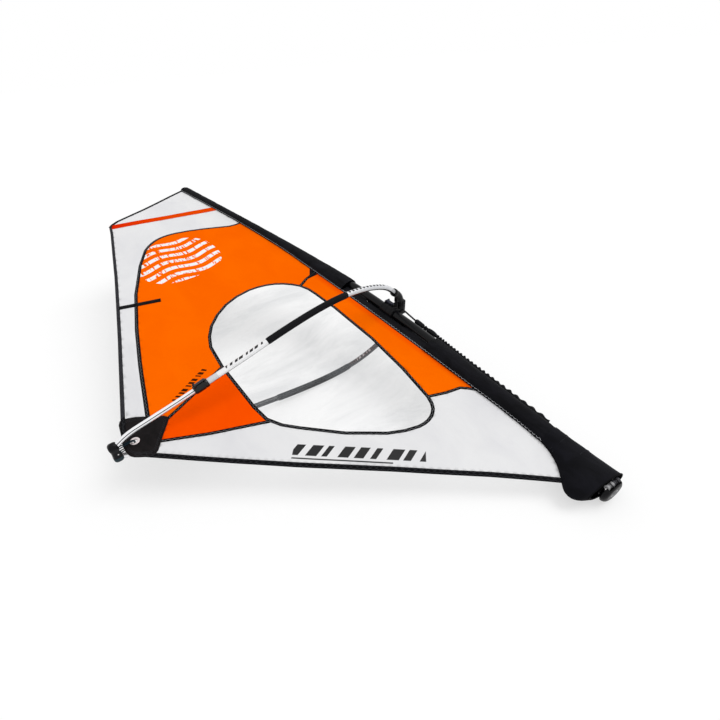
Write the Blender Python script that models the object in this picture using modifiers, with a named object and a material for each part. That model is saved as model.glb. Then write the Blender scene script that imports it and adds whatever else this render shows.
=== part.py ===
# Windsurf rig lying on the floor: a mast in its luff sleeve, a flat panelled
# sail, a wishbone boom clamped to the mast, and the mast foot.
# Metres, +Z up. In the rig's own frame +X runs up the mast from the foot,
# +Y runs from the mast to the clew, and +Z is square to the sail.
import bpy
import bmesh
from math import atan2, ceil, cos, pi, radians, sin
from mathutils import Matrix, Vector

# How the rig lies: the sail plane leans on the foot and on the lower arm
REST_PITCH = radians(-8.81)
REST_ROLL = radians(-2.86)
REST_PLACE = (-1.6328, -0.50939, 0.0481)

# Seated faces keep this gap
GAP = 0.0003

# A drawn curve takes a new point at least each time it has turned this far
LINE_TURN = radians(14)

# Mast: its centre line bows forward of the line from foot to tip
MAST_LINE = [
    (0.00, 0.000), (0.45, -0.055), (0.87, -0.103), (1.25, -0.121), (1.60, -0.117),
    (2.00, -0.096), (2.50, -0.056), (2.98, -0.018), (3.33, 0.006),
]
MAST_RADIUS = 0.0225
MAST_TIP_RADIUS = 0.0120
MAST_WALL = 0.0035
MAST_TOP_WALL = 0.0022
MAST_JOINT_X = 1.70
MAST_TIP_X = 3.30
MAST_SIDES = 12
MAST_STEP = 0.17
FERRULE_STEP = 0.06
JOINT_STRAIGHT = 0.020
FERRULE_LENGTH = 0.24
TIP_CAP_LENGTH = 0.035

# Luff sleeve: front edge and rear edge where it meets the sail
SLEEVE_CLEARANCE = 0.0080
SLEEVE_WALL = 0.0012
SLEEVE_FLANGE = 0.0100
SLEEVE_SHARP_LOW = 0.15
SLEEVE_SHARP_HIGH = 0.45
SLEEVE_SHARP_REACH = 0.60
SLEEVE_FRONT = [
    (0.00, -0.072), (0.15, -0.080), (0.30, -0.089), (0.60, -0.1105), (0.89, -0.135),
    (1.20, -0.148), (1.51, -0.153), (2.00, -0.127), (2.40, -0.096), (2.98, -0.047),
    (3.33, -0.017),
]
SLEEVE_REAR = [
    (0.25, 0.007), (0.40, -0.008), (0.60, -0.018), (0.85, -0.028), (1.15, -0.038),
    (1.50, -0.046), (1.80, -0.049), (2.10, -0.050), (2.55, -0.028), (2.95, 0.008), (3.33, 0.046),
]
CUTOUT_LOW_X = 0.890
CUTOUT_HIGH_X = 1.508
SLEEVE_TOP_X = 3.325

# Tack pad round the mast foot
PAD_LOW_X = 0.020
PAD_HIGH_X = 0.250
PAD_WALL = 0.0036
PAD_FLANGE = 0.0090
PAD_HALF_HEIGHT = 0.0495
PAD_SLANT = 0.0280
PAD_TAPER_FROM = 0.18
PAD_TAPER_TO = 0.89
PAD_REAR = [
    (0.020, 0.085), (0.034, 0.110), (0.055, 0.126), (0.085, 0.122), (0.120, 0.088),
    (0.160, 0.050), (0.205, 0.023), (0.250, 0.007),
]

# Sail: panels of cloth and film between tapes, all centred on one plane
CLOTH = 0.0010
TAPE = 0.0024
TAPE_WIDTH = 0.0110
EDGE_TAPE_WIDTH = 0.0130
FOOT_TAPE_WIDTH = 0.0200
BATTEN_WIDTH = 0.0580
BATTEN = 0.0050
LEECH_BATTEN_WIDTH = 0.0200
LEECH_BATTEN = 0.0024
PATCH = 0.0036
HEAD_EDGE = [(3.325, 0.030), (3.181, 0.370), (3.105, 0.580), (3.052, 0.640)]
LEECH = [
    (3.052, 0.640), (2.941, 0.667), (2.700, 0.735), (2.414, 0.814), (2.110, 0.903),
    (1.827, 0.987), (1.500, 1.088), (1.240, 1.168),
]
FOOT = [
    (0.100, 0.078), (0.285, 0.260), (0.522, 0.506), (0.754, 0.752), (0.986, 0.992),
    (1.150, 1.158),
]
HEAD_BATTEN_LINE = [(3.045, 0.650), (2.956, 0.318), (2.859, -0.042)]
LEECH_BATTEN_LINE = [(2.094, 0.897), (2.036, 0.716)]
WINDOW = [
    (1.678, 0.090), (1.785, 0.185), (1.822, 0.320), (1.778, 0.475), (1.665, 0.610),
    (1.520, 0.684), (1.365, 0.706), (1.170, 0.713), (0.990, 0.712), (0.873, 0.639),
    (0.740, 0.522), (0.640, 0.405), (0.588, 0.290), (0.602, 0.205), (0.675, 0.155),
    (0.860, 0.118), (1.100, 0.086), (1.400, 0.071), (1.560, 0.072),
]
SEAM_LEECH = [
    (2.560, -0.035), (2.562, 0.045), (2.640, 0.200), (2.693, 0.360), (2.682, 0.480),
    (2.600, 0.580), (2.447, 0.668), (2.168, 0.792), (1.864, 0.896), (1.600, 0.975),
    (1.265, 1.066),
]
SEAM_CLEW = [(1.220, 1.040), (1.290, 0.873), (1.365, 0.706)]
SEAM_FOOT = [(1.160, 1.090), (1.067, 0.914), (0.972, 0.708)]
SEAM_GUSSET = [(1.678, 0.090), (1.714, 0.028), (1.742, -0.052)]
SEAM_TACK = [(0.675, 0.155), (0.642, 0.080), (0.625, 0.020), (0.575, -0.022)]
CLEW_PATCH = [
    (1.338, 1.150), (1.322, 1.094), (1.286, 1.046), (1.243, 0.998), (1.190, 1.030),
    (1.148, 1.062), (1.102, 1.101), (1.128, 1.154), (1.160, 1.178), (1.215, 1.180),
    (1.268, 1.168),
]
GROMMET_PLACE = (1.206, 1.138)
GROMMET_BORE_RADIUS = 0.0090
GROMMET_BODY_RADIUS = 0.0125
GROMMET_FLANGE_RADIUS = 0.0175
GROMMET_FLANGE = 0.0018

# Mast foot
CUP_RADIUS = 0.0470
CUP_LENGTH = 0.0450
CUP_EDGE = 0.0180
COLLAR_RADIUS = 0.0340
COLLAR_LENGTH = 0.0200
FOOT_TUBE_LENGTH = 0.300
FOOT_TUBE_WALL = 0.0025
SOCKET_RADIUS = 0.0125
SOCKET_WALL = 0.0045
ROLLER_RADIUS = 0.0095
ROLLER_LENGTH = 0.0300
ROLLER_HEIGHT = 0.0300
ROLLER_X = -0.0050
AXLE_RADIUS = 0.0025
RUNNING_GAP = 0.0004
BUTTON_X = -0.0110
BUTTON_RADIUS = 0.0065
BUTTON_LENGTH = 0.0120
BUTTON_PROUD = 0.0040
DOWNHAUL_RADIUS = 0.0020
TACK_BLOCK_X = 0.0900
TACK_BLOCK_LENGTH = 0.0220
TACK_BLOCK_WIDTH = 0.0440
TACK_BLOCK_HEIGHT = 0.0080

# Boom clamp on the mast
BOOM_X = 1.2030
CLAMP_LENGTH = 0.0850
CLAMP_TRAVEL = 0.0800
CLAMP_RUN_OUT = 0.0085
CLAMP_HALF_HEIGHT = 0.0340
CLAMP_GAP = 0.0010
LINER_WALL = 0.0020
CLAMP_WALL = 0.0062
LUG_RADIUS = 0.0085
PIN_RADIUS = 0.0040
PIN_AHEAD = 0.0420
LEVER_LENGTH = 0.0440
LEVER_WIDTH = 0.0260
LEVER_THICK = 0.0090
LEVER_INSET = 0.0010
LEVER_PIN_RADIUS = 0.0025

# Wishbone: distance behind the fold pin, half width
YOKE_LINE = [(0.024, 0.105), (-0.008, 0.072), (-0.024, 0.040), (-0.029, 0.000)]
YOKE_RADIUS = 0.0190
ARM_LINE = [
    (0.002, 0.082), (0.026, 0.107), (0.060, 0.140), (0.110, 0.168),
    (0.180, 0.191), (0.260, 0.206),
    (0.350, 0.211), (0.450, 0.206), (0.560, 0.192), (0.680, 0.171), (0.800, 0.146),
    (0.920, 0.123), (1.010, 0.106),
]
ARM_RADIUS = 0.0125
ARM_WALL = 0.0015
ARM_SIDES = 12
GRIP_RADIUS = 0.0148
GRIP_START = 0.305
GRIP_END = 0.715
END_SLEEVE_RADIUS = 0.0190
END_SLEEVE_START = 0.985
END_SLEEVE_LENGTH = 0.060
LOCK_LEVER_LENGTH = 0.044
LOCK_LEVER_WIDTH = 0.020
LOCK_LEVER_THICK = 0.006
LOCK_PIN_RADIUS = 0.0015
LEG_LINE = [
    (0.800, 0.146), (0.920, 0.123), (1.010, 0.106), (1.110, 0.087), (1.200, 0.072),
    (1.255, 0.063), (1.295, 0.056), (1.325, 0.0455), (1.364, 0.0262),
]
LEG_RADIUS = 0.0100
LEG_WALL = 0.0014

# Tail fitting and outhaul
TAIL_CLEARANCE = 0.0110
TAIL_DEPTH = 0.036
TAIL_HALF_WIDTH = 0.047
TAIL_THICK = 0.034
TAIL_SLOT_HALF = 0.0130
TAIL_ROLLER_RADIUS = 0.0080
TAIL_ROLLER_LENGTH = 0.0220
OUTHAUL_RADIUS = 0.0022

# Uphaul: thin line, padded grip, then gathered elastic down the sleeve front
UPHAUL_LINE_RADIUS = 0.0028
UPHAUL_GRIP_RADIUS = 0.0105
UPHAUL_KNOT_REACH = 0.55
UPHAUL_ELASTIC_RADIUS = 0.0062
UPHAUL_SWELL = 0.0022
UPHAUL_PITCH = 0.0320
UPHAUL_ROPE = [
    (1.153, -0.1745), (1.110, -0.1680), (1.066, -0.161), (1.020, -0.156), (0.960, -0.1528),
    (0.910, -0.1500),
]
UPHAUL_SPLICE = [(0.910, -0.1500), (0.905, -0.1497), (0.900, -0.1494)]
UPHAUL_GRIP_X = 1.064
UPHAUL_ELASTIC = [
    (0.900, -0.1494), (0.760, -0.1352), (0.620, -0.1235), (0.480, -0.1131), (0.290, -0.0997),
]


def clear_scene():
    for thing in list(bpy.data.objects):
        bpy.data.objects.remove(thing, do_unlink=True)


clear_scene()
PARTS = bpy.data.collections.new("windsurf_rig")
CUTTERS = bpy.data.collections.new("cutters")
for group in (PARTS, CUTTERS):
    bpy.context.scene.collection.children.link(group)


# Materials

def material(name, colour, roughness, metallic=0.0, alpha=1.0):
    made = bpy.data.materials.new(name)
    made.use_nodes = True
    shader = made.node_tree.nodes["Principled BSDF"]
    shader.inputs["Base Color"].default_value = (*colour, 1.0)
    shader.inputs["Roughness"].default_value = roughness
    shader.inputs["Metallic"].default_value = metallic
    shader.inputs["Alpha"].default_value = alpha
    made.diffuse_color = (*colour, alpha)
    return made


MAST_GLASS = material("mast_glass_fibre", (0.020, 0.020, 0.022), 0.35)
SLEEVE_CLOTH = material("sleeve_cloth", (0.010, 0.010, 0.012), 0.85)
PAD_FOAM = material("pad_cloth", (0.012, 0.012, 0.014), 0.90)
TAPE_BLACK = material("seam_tape", (0.012, 0.012, 0.014), 0.70)
CLOTH_WHITE = material("white_sailcloth", (0.780, 0.780, 0.790), 0.50)
CLOTH_ORANGE = material("orange_sailcloth", (1.000, 0.150, 0.000), 0.50)
CLOTH_RED = material("batten_cloth", (0.900, 0.080, 0.010), 0.50)
WINDOW_FILM = material("window_film", (0.850, 0.860, 0.870), 0.10, 0.0, 0.35)
METAL = material("stainless_steel", (0.700, 0.700, 0.700), 0.25, 1.0)
ALUMINIUM = material("aluminium", (0.800, 0.800, 0.810), 0.30, 1.0)
TUBE_WHITE = material("white_tube", (0.700, 0.700, 0.700), 0.35, 0.2)
FOAM_BLACK = material("grip_foam", (0.015, 0.015, 0.016), 0.80)
PLASTIC_BLACK = material("black_plastic", (0.014, 0.014, 0.016), 0.40)
PLASTIC_GREY = material("grey_plastic", (0.200, 0.200, 0.210), 0.50)
ROPE_BLACK = material("black_rope", (0.012, 0.012, 0.013), 0.80)
ROPE_BLUE = material("dark_blue_rope", (0.008, 0.020, 0.040), 0.80)
RUBBER = material("rubber_liner", (0.015, 0.015, 0.015), 0.90)


# Lines and sections

def smooth(points, step, closed=False):
    """Points along a smooth curve through the given ones: no longer than one step
    apart, and closer where the curve turns by more than LINE_TURN between them."""
    known = [Vector(p) for p in points]
    count = len(known)
    spans = count if closed else count - 1
    out = []
    for i in range(spans):
        b, c = known[i], known[(i + 1) % count]
        a = known[i - 1] if closed or i > 0 else b * 2 - c
        d = known[(i + 2) % count] if closed or i + 2 < count else c * 2 - b
        turn = (c - a).angle(d - b)
        parts = max(1, ceil((c - b).length / step), ceil(turn / LINE_TURN))
        for k in range(parts):
            t = k / parts
            out.append(
                0.5 * (2 * b + (c - a) * t + (2 * a - 5 * b + 4 * c - d) * t ** 2
                       + (3 * b - a - 3 * c + d) * t ** 3)
            )
    if not closed:
        out.append(known[-1])
    return out


def line_height(line, x):
    """The second coordinate of a smooth line at the first coordinate x."""
    dense = smooth(line, 0.03)
    for a, b in zip(dense, dense[1:]):
        low, high = (a, b) if a.x < b.x else (b, a)
        if low.x <= x <= high.x:
            return low.y + (high.y - low.y) * (x - low.x) / max(high.x - low.x, 1e-9)
    ends = sorted((dense[0], dense[-1]), key=lambda p: abs(p.x - x))
    return ends[0].y


# The mast runs straight wherever the clamp can slide
STRAIGHT_HALF = CLAMP_LENGTH / 2 + CLAMP_TRAVEL + CLAMP_RUN_OUT
STRAIGHT_LOW_X = BOOM_X - STRAIGHT_HALF
STRAIGHT_HIGH_X = BOOM_X + STRAIGHT_HALF


def mast_centre(x):
    if not STRAIGHT_LOW_X < x < STRAIGHT_HIGH_X:
        return line_height(MAST_LINE, x)
    low = line_height(MAST_LINE, STRAIGHT_LOW_X)
    high = line_height(MAST_LINE, STRAIGHT_HIGH_X)
    return low + (high - low) * (x - STRAIGHT_LOW_X) / (STRAIGHT_HIGH_X - STRAIGHT_LOW_X)


def mast_radius(x):
    taper = max(0.0, (x - MAST_JOINT_X) / (MAST_TIP_X - MAST_JOINT_X))
    return MAST_RADIUS + (MAST_TIP_RADIUS - MAST_RADIUS) * min(taper, 1.0)


def stations(low, high, step):
    count = max(1, ceil((high - low) / step))
    return [low + (high - low) * i / count for i in range(count + 1)]


# Object makers

def place(thing, parent, group=PARTS):
    group.objects.link(thing)
    thing.parent = parent
    return thing


def empty(name, parent, location=(0, 0, 0), rotation=(0, 0, 0)):
    thing = bpy.data.objects.new(name, None)
    thing.location = location
    thing.rotation_euler = rotation
    thing.empty_display_size = 0.05
    return place(thing, parent)


def mesh_object(name, bm, parent, finish, group=PARTS):
    bmesh.ops.recalc_face_normals(bm, faces=bm.faces)
    mesh = bpy.data.meshes.new(name)
    bm.to_mesh(mesh)
    bm.free()
    mesh.materials.append(finish)
    thing = place(bpy.data.objects.new(name, mesh), parent, group)
    return thing


def smooth_shade(thing, angle=40):
    thing.data.shade_smooth()
    thing.data.set_sharp_from_angle(angle=radians(angle))
    return thing


def bake(thing):
    """Turn a curve or a modified object into a plain welded mesh."""
    bpy.context.view_layer.update()
    graph = bpy.context.evaluated_depsgraph_get()
    mesh = bpy.data.meshes.new_from_object(thing.evaluated_get(graph))
    bm = bmesh.new()
    bm.from_mesh(mesh)
    bmesh.ops.remove_doubles(bm, verts=bm.verts, dist=0.00001)
    bm.to_mesh(mesh)
    bm.free()
    name, parent = thing.name, thing.parent
    group = thing.users_collection[0]
    local = thing.matrix_local.copy()
    bpy.data.objects.remove(thing, do_unlink=True)
    made = place(bpy.data.objects.new(name, mesh), parent, group)
    made.matrix_local = local
    return made


def wire(name, points, radius, parent, finish, sides=8, radii=None, caps=True, loop=False,
         group=PARTS):
    data = bpy.data.curves.new(name, "CURVE")
    data.dimensions = "3D"
    data.bevel_depth = 1.0 if radii else radius
    data.bevel_resolution = (sides - 4) // 2
    data.use_fill_caps = caps and not loop
    spline = data.splines.new("POLY")
    spline.points.add(len(points) - 1)
    for i, point in enumerate(points):
        spline.points[i].co = (*point, 1.0)
        spline.points[i].radius = radii[i] if radii else 1.0
    spline.use_cyclic_u = loop
    data.materials.append(finish)
    return place(bpy.data.objects.new(name, data), parent, group)


def hollow_wire(name, points, radius, wall, parent, finish, sides=16, radii=None):
    thing = bake(wire(name, points, radius, parent, finish, sides, radii, caps=False))
    shell = thing.modifiers.new("wall", "SOLIDIFY")
    shell.thickness = wall
    shell.offset = -1.0
    shell.use_even_offset = True
    return smooth_shade(thing)


def slab(name, loops, thick, parent, finish, group=PARTS):
    data = bpy.data.curves.new(name, "CURVE")
    data.dimensions = "2D"
    data.fill_mode = "BOTH"
    data.extrude = thick / 2
    for loop in loops:
        spline = data.splines.new("POLY")
        spline.points.add(len(loop) - 1)
        for i, point in enumerate(loop):
            spline.points[i].co = (point[0], point[1], 0.0, 1.0)
        spline.use_cyclic_u = True
    data.materials.append(finish)
    return bake(place(bpy.data.objects.new(name, data), parent, group))


def box(name, low, high, parent, finish, bevel=0.0, group=PARTS):
    bm = bmesh.new()
    bmesh.ops.create_cube(bm, size=1.0)
    for vert in bm.verts:
        vert.co = Vector([low[i] + (high[i] - low[i]) * (vert.co[i] + 0.5) for i in range(3)])
    if bevel > 0:
        bmesh.ops.bevel(bm, geom=bm.edges[:], offset=bevel, segments=2, profile=0.5,
                        affect="EDGES")
    return mesh_object(name, bm, parent, finish, group)


def rod(name, start, end, radius, parent, finish, sides=16, bevel=0.0, group=PARTS):
    """A round bar between two points, its origin at the middle and +Z along it."""
    start, end = Vector(start), Vector(end)
    bm = bmesh.new()
    bmesh.ops.create_cone(bm, cap_ends=True, segments=sides, radius1=radius, radius2=radius,
                          depth=(end - start).length)
    if bevel > 0:
        rims = [edge for edge in bm.edges if abs(edge.verts[0].co.z - edge.verts[1].co.z) < 1e-7]
        bmesh.ops.bevel(bm, geom=rims, offset=bevel, segments=2, profile=0.5, affect="EDGES")
    thing = mesh_object(name, bm, parent, finish, group)
    thing.location = (start + end) / 2
    thing.rotation_euler = (end - start).to_track_quat("Z", "Y").to_euler()
    return smooth_shade(thing)


def turned(name, profile, parent, finish, steps=32, location=(0, 0, 0), rotation=(0, 0, 0),
           ring=False, group=PARTS):
    """A profile of (radius, height) pairs turned about local Z; a ring closes on itself."""
    bm = bmesh.new()
    verts = [bm.verts.new((radius, 0.0, height)) for radius, height in profile]
    for a, b in zip(verts, verts[1:]):
        bm.edges.new((a, b))
    if ring:
        bm.edges.new((verts[-1], verts[0]))
    mesh = bpy.data.meshes.new(name)
    bm.to_mesh(mesh)
    bm.free()
    mesh.materials.append(finish)
    thing = place(bpy.data.objects.new(name, mesh), parent, group)
    thing.location = location
    thing.rotation_euler = rotation
    spin = thing.modifiers.new("turn", "SCREW")
    spin.steps = steps
    spin.render_steps = steps
    spin.use_merge_vertices = True
    spin.merge_threshold = 0.00001
    return smooth_shade(thing)


def cutter(thing):
    thing.hide_render = True
    thing.display_type = "WIRE"
    for group in list(thing.users_collection):
        group.objects.unlink(thing)
    CUTTERS.objects.link(thing)
    return thing


def cut(thing, tool, kind="DIFFERENCE"):
    step = thing.modifiers.new(tool.name, "BOOLEAN")
    step.operation = kind
    step.solver = "EXACT"
    step.object = tool
    return thing


# Rig frame and the axes that pieces move about

RIG = empty("rig_plane", None, REST_PLACE, (REST_ROLL, REST_PITCH, 0.0))
MAST_SLOPE = atan2(mast_centre(BOOM_X + CLAMP_LENGTH / 2) - mast_centre(BOOM_X - CLAMP_LENGTH / 2),
                   CLAMP_LENGTH)
CLAMP = empty("clamp_axis", RIG, (BOOM_X, mast_centre(BOOM_X), 0.0), (0, 0, MAST_SLOPE))
FOLD_PLACE = (BOOM_X + PIN_AHEAD * sin(MAST_SLOPE),
              mast_centre(BOOM_X) - PIN_AHEAD * cos(MAST_SLOPE), 0.0)
FOLD = empty("fold_axis", RIG, FOLD_PLACE)
FOOT_SLOPE = atan2(mast_centre(0.06) - mast_centre(0.0), 0.06)
CUP = empty("foot_axis", RIG, (0, 0, 0), (0, 0, FOOT_SLOPE))
TAIL = empty("tail_axis", FOLD)

# The tail fitting stands just clear of the clew patch
TAIL_INNER = max(y for x, y in CLEW_PATCH) - FOLD_PLACE[1] + TAIL_CLEARANCE


# Mast

def mast_path(low, high, step=MAST_STEP):
    xs = stations(low, high, step)
    if low < STRAIGHT_LOW_X and high > STRAIGHT_HIGH_X:
        xs = stations(low, STRAIGHT_LOW_X, step) + stations(STRAIGHT_HIGH_X, high, step)
    return [(x, mast_centre(x), 0.0) for x in xs]


def make_mast():
    bottom_x = COLLAR_LENGTH + 2 * GAP
    low = mast_path(bottom_x, MAST_JOINT_X - JOINT_STRAIGHT)
    low += mast_path(MAST_JOINT_X, MAST_JOINT_X + GAP)[:1]
    hollow_wire("mast_bottom_section", low, MAST_RADIUS, MAST_WALL, RIG, MAST_GLASS, MAST_SIDES)
    high = mast_path(MAST_JOINT_X + GAP, MAST_JOINT_X + JOINT_STRAIGHT)[:1]
    high += mast_path(MAST_JOINT_X + JOINT_STRAIGHT, MAST_TIP_X)
    radii = [mast_radius(point[0]) for point in high]
    hollow_wire("mast_top_section", high, None, MAST_TOP_WALL, RIG, MAST_GLASS, MAST_SIDES, radii)
    inner = mast_path(MAST_JOINT_X - FERRULE_LENGTH / 2, MAST_JOINT_X + FERRULE_LENGTH / 2, FERRULE_STEP)
    radii = []
    for x, y, z in inner:
        wall = MAST_TOP_WALL if x > MAST_JOINT_X + GAP else MAST_WALL
        radii.append(mast_radius(x) - wall - 2 * GAP)
    hollow_wire("mast_ferrule", inner, None, MAST_WALL, RIG, MAST_GLASS, MAST_SIDES, radii)
    plug_radius = MAST_TIP_RADIUS - MAST_TOP_WALL - 2 * GAP
    slope = atan2(mast_centre(MAST_TIP_X) - mast_centre(MAST_TIP_X - 0.1), 0.1)
    tip = (MAST_TIP_X + GAP, mast_centre(MAST_TIP_X), 0.0)
    turned("mast_tip_plug",
           [(0.0, TIP_CAP_LENGTH), (MAST_TIP_RADIUS * 0.6, TIP_CAP_LENGTH * 0.92),
            (MAST_TIP_RADIUS, TIP_CAP_LENGTH * 0.55), (MAST_TIP_RADIUS, 0.0),
            (plug_radius, 0.0), (plug_radius, -TIP_CAP_LENGTH), (0.0, -TIP_CAP_LENGTH)],
           RIG, PLASTIC_BLACK, 20, tip, (0, pi / 2, slope))


# Sleeve and tack pad: rings of one flat egg section lofted along the mast

def section(front, rear, half, sharp, count=14):
    """A closed section in Y and Z, round at the front and sharper at the rear."""
    peak = max(sin(pi * i / 60) * cos(pi * i / 120) ** sharp for i in range(61))
    ring = []
    for i in range(count):
        turn = 2 * pi * i / count
        rise = sin(turn) * abs(cos(turn / 2)) ** sharp / peak
        ring.append((front + (rear - front) * (1 - cos(turn)) / 2, half * rise))
    return ring


def sleeve_shell(name, stops, wall, flange, parent, finish, slant=0.0):
    """Stops hold x, front, rear, half height and sharpness of each section.

    The first section leans: its front comes lower than its rear by the slant.
    """
    bm = bmesh.new()
    skins = []
    for inset, back in ((0.0, 0.0), (wall, flange)):
        rings = []
        for x, front, rear, half, sharp in stops:
            ring = section(front + inset, rear - back, half - inset, sharp)
            lean = 0.0 if rings else slant
            rings.append([bm.verts.new((x - lean * (rear - y) / (rear - front), y, z)) for y, z in ring])
        skins.append(rings)
    for rings in skins:
        for a, b in zip(rings, rings[1:]):
            for i in range(len(a)):
                j = (i + 1) % len(a)
                bm.faces.new((a[i], a[j], b[j], b[i]))
    for end in (0, -1):
        outer, inner = skins[0][end], skins[1][end]
        for i in range(len(outer)):
            j = (i + 1) % len(outer)
            bm.faces.new((outer[i], outer[j], inner[j], inner[i]))
    return smooth_shade(mesh_object(name, bm, parent, finish), 60)


def sleeve_stop(x, sharp):
    half = mast_radius(x) + SLEEVE_CLEARANCE
    return (x, line_height(SLEEVE_FRONT, x), line_height(SLEEVE_REAR, x), half, sharp)


def sleeve_xs(low, high):
    return stations(low, high, 0.20)


def pad_stop(x):
    reach = (x - PAD_LOW_X) / (PAD_HIGH_X - PAD_LOW_X)
    low_half = PAD_HALF_HEIGHT
    high_half = MAST_RADIUS + SLEEVE_CLEARANCE + PAD_WALL - SLEEVE_WALL
    taper = (reach - PAD_TAPER_FROM) / (PAD_TAPER_TO - PAD_TAPER_FROM)
    half = low_half + (high_half - low_half) * min(1.0, max(0.0, taper))
    sharp = 0.42 * (1 - reach) ** 0.8
    return (x, line_height(SLEEVE_FRONT, x), line_height(PAD_REAR, x), half, sharp)


def pad_xs():
    return stations(PAD_LOW_X, PAD_HIGH_X, 0.030)


def make_sleeve():
    low = [sleeve_stop(x, SLEEVE_SHARP_LOW) for x in sleeve_xs(PAD_HIGH_X + GAP, CUTOUT_LOW_X)]
    sleeve_shell("luff_sleeve_lower", low, SLEEVE_WALL, SLEEVE_FLANGE, RIG, SLEEVE_CLOTH)
    high = []
    for x in sleeve_xs(CUTOUT_HIGH_X, SLEEVE_TOP_X):
        near_boom = max(0.0, 1 - (x - CUTOUT_HIGH_X) / SLEEVE_SHARP_REACH)
        high.append(sleeve_stop(x, SLEEVE_SHARP_HIGH * near_boom))
    sleeve_shell("luff_sleeve_upper", high, SLEEVE_WALL, SLEEVE_FLANGE * 0.5, RIG, SLEEVE_CLOTH)
    sleeve_shell("tack_pad", [pad_stop(x) for x in pad_xs()], PAD_WALL, PAD_FLANGE, RIG, PAD_FOAM,
                 PAD_SLANT)


# Sail: every flat piece is cut by the ones sewn over it, with the named gap

def strip(line, half, closed=False, step=0.6):
    """Outline loops of a band with the given half width along a smooth line."""
    path = [Vector((p[0], p[1])) for p in smooth(line, step, closed)]
    count = len(path)
    left, right = [], []
    for i, point in enumerate(path):
        before = path[i - 1] if closed or i > 0 else point
        after = path[(i + 1) % count] if closed or i + 1 < count else point
        along = (after - before).normalized()
        side = Vector((-along.y, along.x)) * half
        left.append(point + side)
        right.append(point - side)
    if closed:
        return [left, right]
    return [left + right[::-1]]


def grown(loop, by):
    """A closed outline moved outwards by the given distance at each corner."""
    points = [Vector((p[0], p[1])) for p in loop]
    area = sum(a.x * b.y - b.x * a.y for a, b in zip(points, points[1:] + points[:1]))
    turn = 1 if area > 0 else -1
    out = []
    for i, point in enumerate(points):
        a = (point - points[i - 1]).normalized()
        b = (points[(i + 1) % len(points)] - point).normalized()
        na, nb = Vector((a.y, -a.x)), Vector((b.y, -b.x))
        lean = (na + nb).normalized()
        out.append(point + lean * turn * by / max(0.35, lean.dot(na)))
    return out


def keep_largest(thing):
    bm = bmesh.new()
    bm.from_mesh(thing.data)
    islands = split_islands(bm)
    largest = max(islands, key=lambda faces: sum(face.calc_area() for face in faces))
    extra = [vert for faces in islands if faces is not largest for face in faces
             for vert in face.verts]
    bmesh.ops.delete(bm, geom=list(set(extra)), context="VERTS")
    bm.to_mesh(thing.data)
    bm.free()
    return thing


def split_islands(bm):
    left = set(bm.faces)
    islands = []
    while left:
        stack = [left.pop()]
        island = list(stack)
        while stack:
            face = stack.pop()
            for edge in face.edges:
                for other in edge.link_faces:
                    if other in left:
                        left.discard(other)
                        stack.append(other)
                        island.append(other)
        islands.append(island)
    return islands


def panel_from(thing, name, seed, finish):
    """A new object from the island of a cut sheet whose outline holds the seed point."""
    bm = bmesh.new()
    bm.from_mesh(thing.data)
    chosen = None
    for island in split_islands(bm):
        tops = [face for face in island if face.normal.z > 0.5]
        if any(bmesh_inside(face, seed) for face in tops):
            chosen = set(island)
    drop = [face for face in bm.faces if face not in chosen]
    bmesh.ops.delete(bm, geom=drop, context="FACES")
    return mesh_object(name, bm, RIG, finish)


def bmesh_inside(face, seed):
    inside = False
    corners = [vert.co for vert in face.verts]
    for a, b in zip(corners, corners[1:] + corners[:1]):
        if (a.y > seed[1]) != (b.y > seed[1]):
            if seed[0] < a.x + (b.x - a.x) * (seed[1] - a.y) / (b.y - a.y):
                inside = not inside
    return inside


def luff_outline():
    """The sleeve's and the cut-out strip's rear edge, from the pad to the head."""
    xs = sleeve_xs(PAD_HIGH_X + GAP, CUTOUT_LOW_X)
    xs += sleeve_xs(CUTOUT_LOW_X, CUTOUT_HIGH_X)[1:-1]
    xs += sleeve_xs(CUTOUT_HIGH_X, SLEEVE_TOP_X)
    return [(x, line_height(SLEEVE_REAR, x) + GAP) for x in xs]


def pad_footprint():
    rear = [(x, line_height(PAD_REAR, x)) for x in pad_xs()]
    front = [(x, line_height(SLEEVE_FRONT, x)) for x in pad_xs()]
    return rear + front[::-1]


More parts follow.
